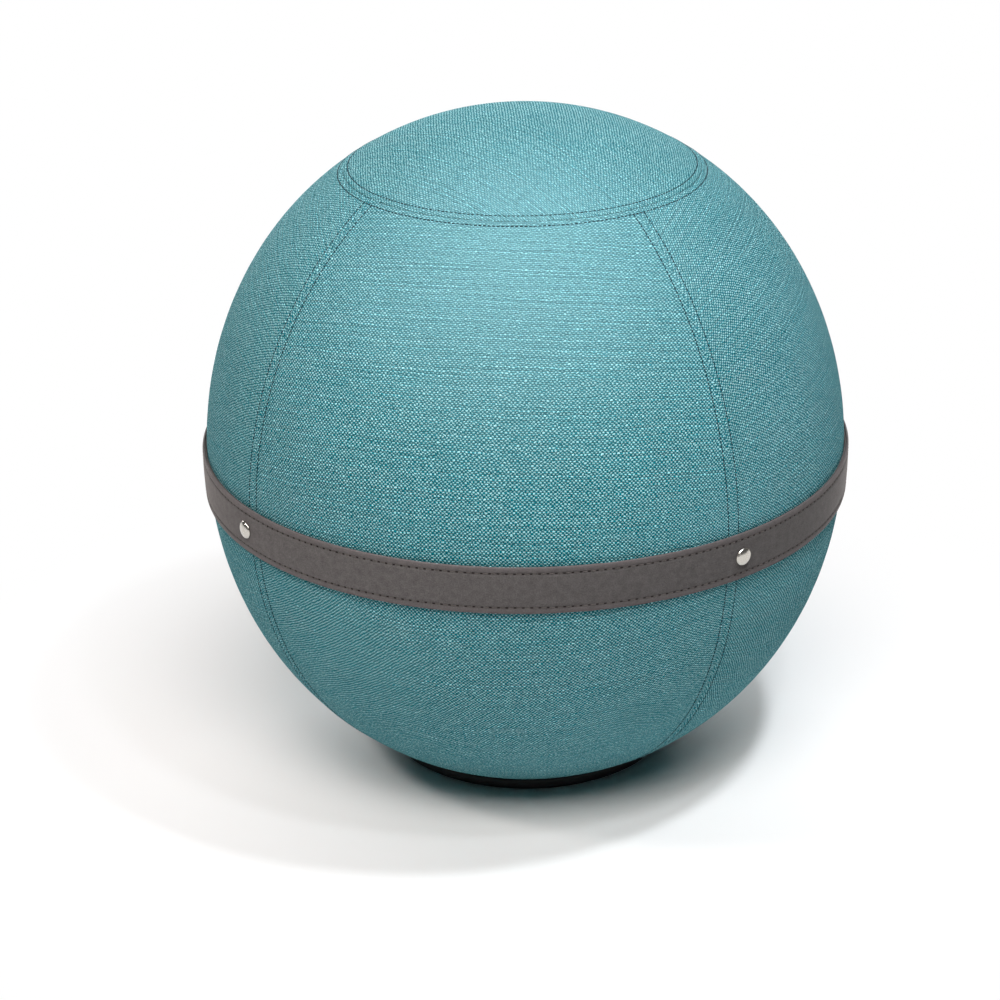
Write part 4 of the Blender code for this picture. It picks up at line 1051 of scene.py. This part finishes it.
bpy.ops.mesh.select_all(action="SELECT")
bpy.ops.mesh.extrude_region_move(TRANSFORM_OT_translate={"value": (0, 0, PULL_THICKNESS)})
bpy.ops.mesh.select_all(action="SELECT")
bpy.ops.mesh.normals_make_consistent(inside=False)
bpy.ops.object.mode_set(mode="OBJECT")
soften = pull.modifiers.new("edges", "BEVEL")
soften.width, soften.segments, soften.limit_method = PULL_ROUND, 2, "ANGLE"
bpy.ops.object.modifier_apply(modifier=soften.name)
bpy.ops.object.shade_smooth_by_angle(angle=math.radians(50))
pull_neck = rounded_block(
    "neck", (NECK_START, -NECK_HALF, PIN_HEIGHT - NECK_RISE),
    (NECK_END, NECK_HALF, PIN_HEIGHT + NECK_RISE), NECK_ROUND,
)
bpy.ops.mesh.primitive_cylinder_add(
    vertices=16, radius=PIN_RADIUS, depth=2 * EAR_OUT, location=(0, 0, PIN_HEIGHT),
    rotation=(math.pi / 2, 0, 0),
)
pin = bpy.context.object
bpy.ops.object.transform_apply(location=True, rotation=True, scale=False)
pull = merged([pull, pull_neck, pin])
pull.data.transform(slider_axes)
pull.data.materials.append(nickel)
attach(pull, "pull")
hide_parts("zip_pull")

# Studio: a white paper floor in a white surround, a broad softbox over the front, small ones to the
# left and over the right, and a low wide one behind, which lays light on the floor past the ball.
bpy.ops.mesh.primitive_plane_add(size=24)
floor = bpy.context.object
floor.name = floor.data.name = "studio_floor"
# Seen plainly, the paper is white away from the ball; near it, its own shading keeps the shadow.
# It throws less light up than it shows, as paper that ends outside the picture would.
paper, shader = finish_named("white_studio_paper", Roughness=0.95, Specular_IOR_Level=0.0)
place = put(paper, "TexCoord", {}, "Object")
away = put(paper, "VectorMath", {0: place}, "Value", operation="LENGTH")
away = put(paper, "MapRange", {"Value": away, 1: 0.25, 2: 0.60}, interpolation_type="SMOOTHSTEP")
path = put(paper, "LightPath", {}).node.outputs
plain = path["Is Camera Ray"]
tone = put(paper, "Mix", {0: plain, 6: linear("#dedede"), 7: linear("#f8f3f2")}, 2, data_type="RGBA")
paper.node_tree.links.new(tone, shader.inputs["Base Color"])
for ray in ("Is Glossy Ray", "Is Transmission Ray"):
    plain = put(paper, "Math", {0: plain, 1: path[ray]}, operation="MAXIMUM")
share = put(paper, "Math", {0: away, 1: plain}, operation="MULTIPLY")
white = put(paper, "Emission", {"Color": (1, 1, 1, 1), "Strength": 1.0})
mixed = put(paper, "MixShader", {0: share, 1: shader.outputs[0], 2: white})
paper.node_tree.links.new(mixed, paper.node_tree.nodes["Material Output"].inputs["Surface"])
floor.data.materials.append(paper)

# The surround is white to the camera. Metal sees it too, with the dim room over the paper's edge.
ROOM_LEVEL = 0.015
world = bpy.data.worlds.new("white_surround")
bpy.context.scene.world = world
world.use_nodes = True
room = world.node_tree.nodes["Background"]
room.inputs["Color"].default_value = (1, 1, 1, 1)
path = put(world, "LightPath", {}).node.outputs
ways = put(world, "TexCoord", {}, "Generated")
dim = put(world, "ValToRGB", {"Fac": put(world, "SeparateXYZ", {0: ways}, "Z")})
stops = dim.node.color_ramp.elements
stops[0].position, stops[0].color = 0.0, (1, 1, 1, 1)
stops[1].position, stops[1].color = 0.06, (0.10, 0.10, 0.10, 1)
for height, grey in ((0.80, 0.10), (0.95, 1.0)):
    stops.new(height).color = (grey, grey, grey, 1)
seen = put(world, "Mix", {0: path["Is Glossy Ray"], 2: ROOM_LEVEL, 3: dim})
clear = put(
    world, "Math", {0: path["Is Camera Ray"], 1: path["Is Transmission Ray"]}, operation="MAXIMUM"
)
seen = put(world, "Mix", {0: clear, 2: seen, 3: 1.0})
world.node_tree.links.new(seen, room.inputs["Strength"])

# Each lamp stands 2 m from the ball's middle: (degrees off the vertical, azimuth, width,
# depth, watts, colour).
LAMP_DISTANCE = 2.0
LAMPS = {
    "front_softbox": (40, 8, 1.20, 0.70, 28.5, "#fffdfa"),
    "left_softbox": (48, -60, 0.22, 0.22, 8.4, "#fffdfa"),
    "right_spot": (24, 70, 0.15, 0.15, 18.0, "#eef9ff"),
    "right_front_spot": (30, 40, 0.15, 0.15, 5.6, "#eef9ff"),
    "back_softbox": (75, 195, 3.00, 0.40, 51.0, "#ffffff"),
}
middle = Vector((0, 0, EQUATOR))
for name, (tilt, turn, width, depth, watts, colour) in LAMPS.items():
    light = bpy.data.lights.new(name, "AREA")
    light.shape, light.size, light.size_y, light.energy = "RECTANGLE", width, depth, watts
    light.color = linear(colour)[:3]
    lamp = bpy.data.objects.new(name, light)
    reach = LAMP_DISTANCE * math.sin(math.radians(tilt))
    rise = EQUATOR + LAMP_DISTANCE * math.cos(math.radians(tilt))
    lamp.location = around(np.array(reach), math.radians(turn), rise)
    lamp.rotation_euler = (middle - lamp.location).to_track_quat("-Z", "Y").to_euler()
    bpy.context.scene.collection.objects.link(lamp)

# Camera: a long lens a little to the right of the front and well above, turned so that the ball
# stands a little right of the middle and high in the frame.
DISTANCE, FOCAL_PIXELS, BALL_PIXEL, FRAME_PIXELS, SENSOR = 2.2, 2528, (525.7, 442.8), 1000, 36.0
ELEVATION, AZIMUTH, ROLL = math.radians(23.0), math.radians(8.5), math.radians(0.86)
view = bpy.data.cameras.new("camera")
view.sensor_width, view.lens = SENSOR, SENSOR * FOCAL_PIXELS / FRAME_PIXELS
camera = bpy.data.objects.new("camera", view)
bpy.context.scene.collection.objects.link(camera)
back = Vector(around(np.array(math.cos(ELEVATION)), AZIMUTH, math.sin(ELEVATION)))
camera.location = middle + back * DISTANCE
sideways = Vector((math.cos(AZIMUTH), math.sin(AZIMUTH), 0))
upright = back.cross(sideways)
aim = -back
aim -= sideways * (BALL_PIXEL[0] - FRAME_PIXELS / 2) / FOCAL_PIXELS
aim -= upright * (FRAME_PIXELS / 2 - BALL_PIXEL[1]) / FOCAL_PIXELS
roll_back = Matrix.Rotation(-ROLL, 3, "Z").to_quaternion()
camera.rotation_mode = "QUATERNION"
camera.rotation_quaternion = aim.to_track_quat("-Z", "Y") @ roll_back
bpy.context.scene.camera = camera
bpy.context.scene.view_settings.view_transform = "Standard"
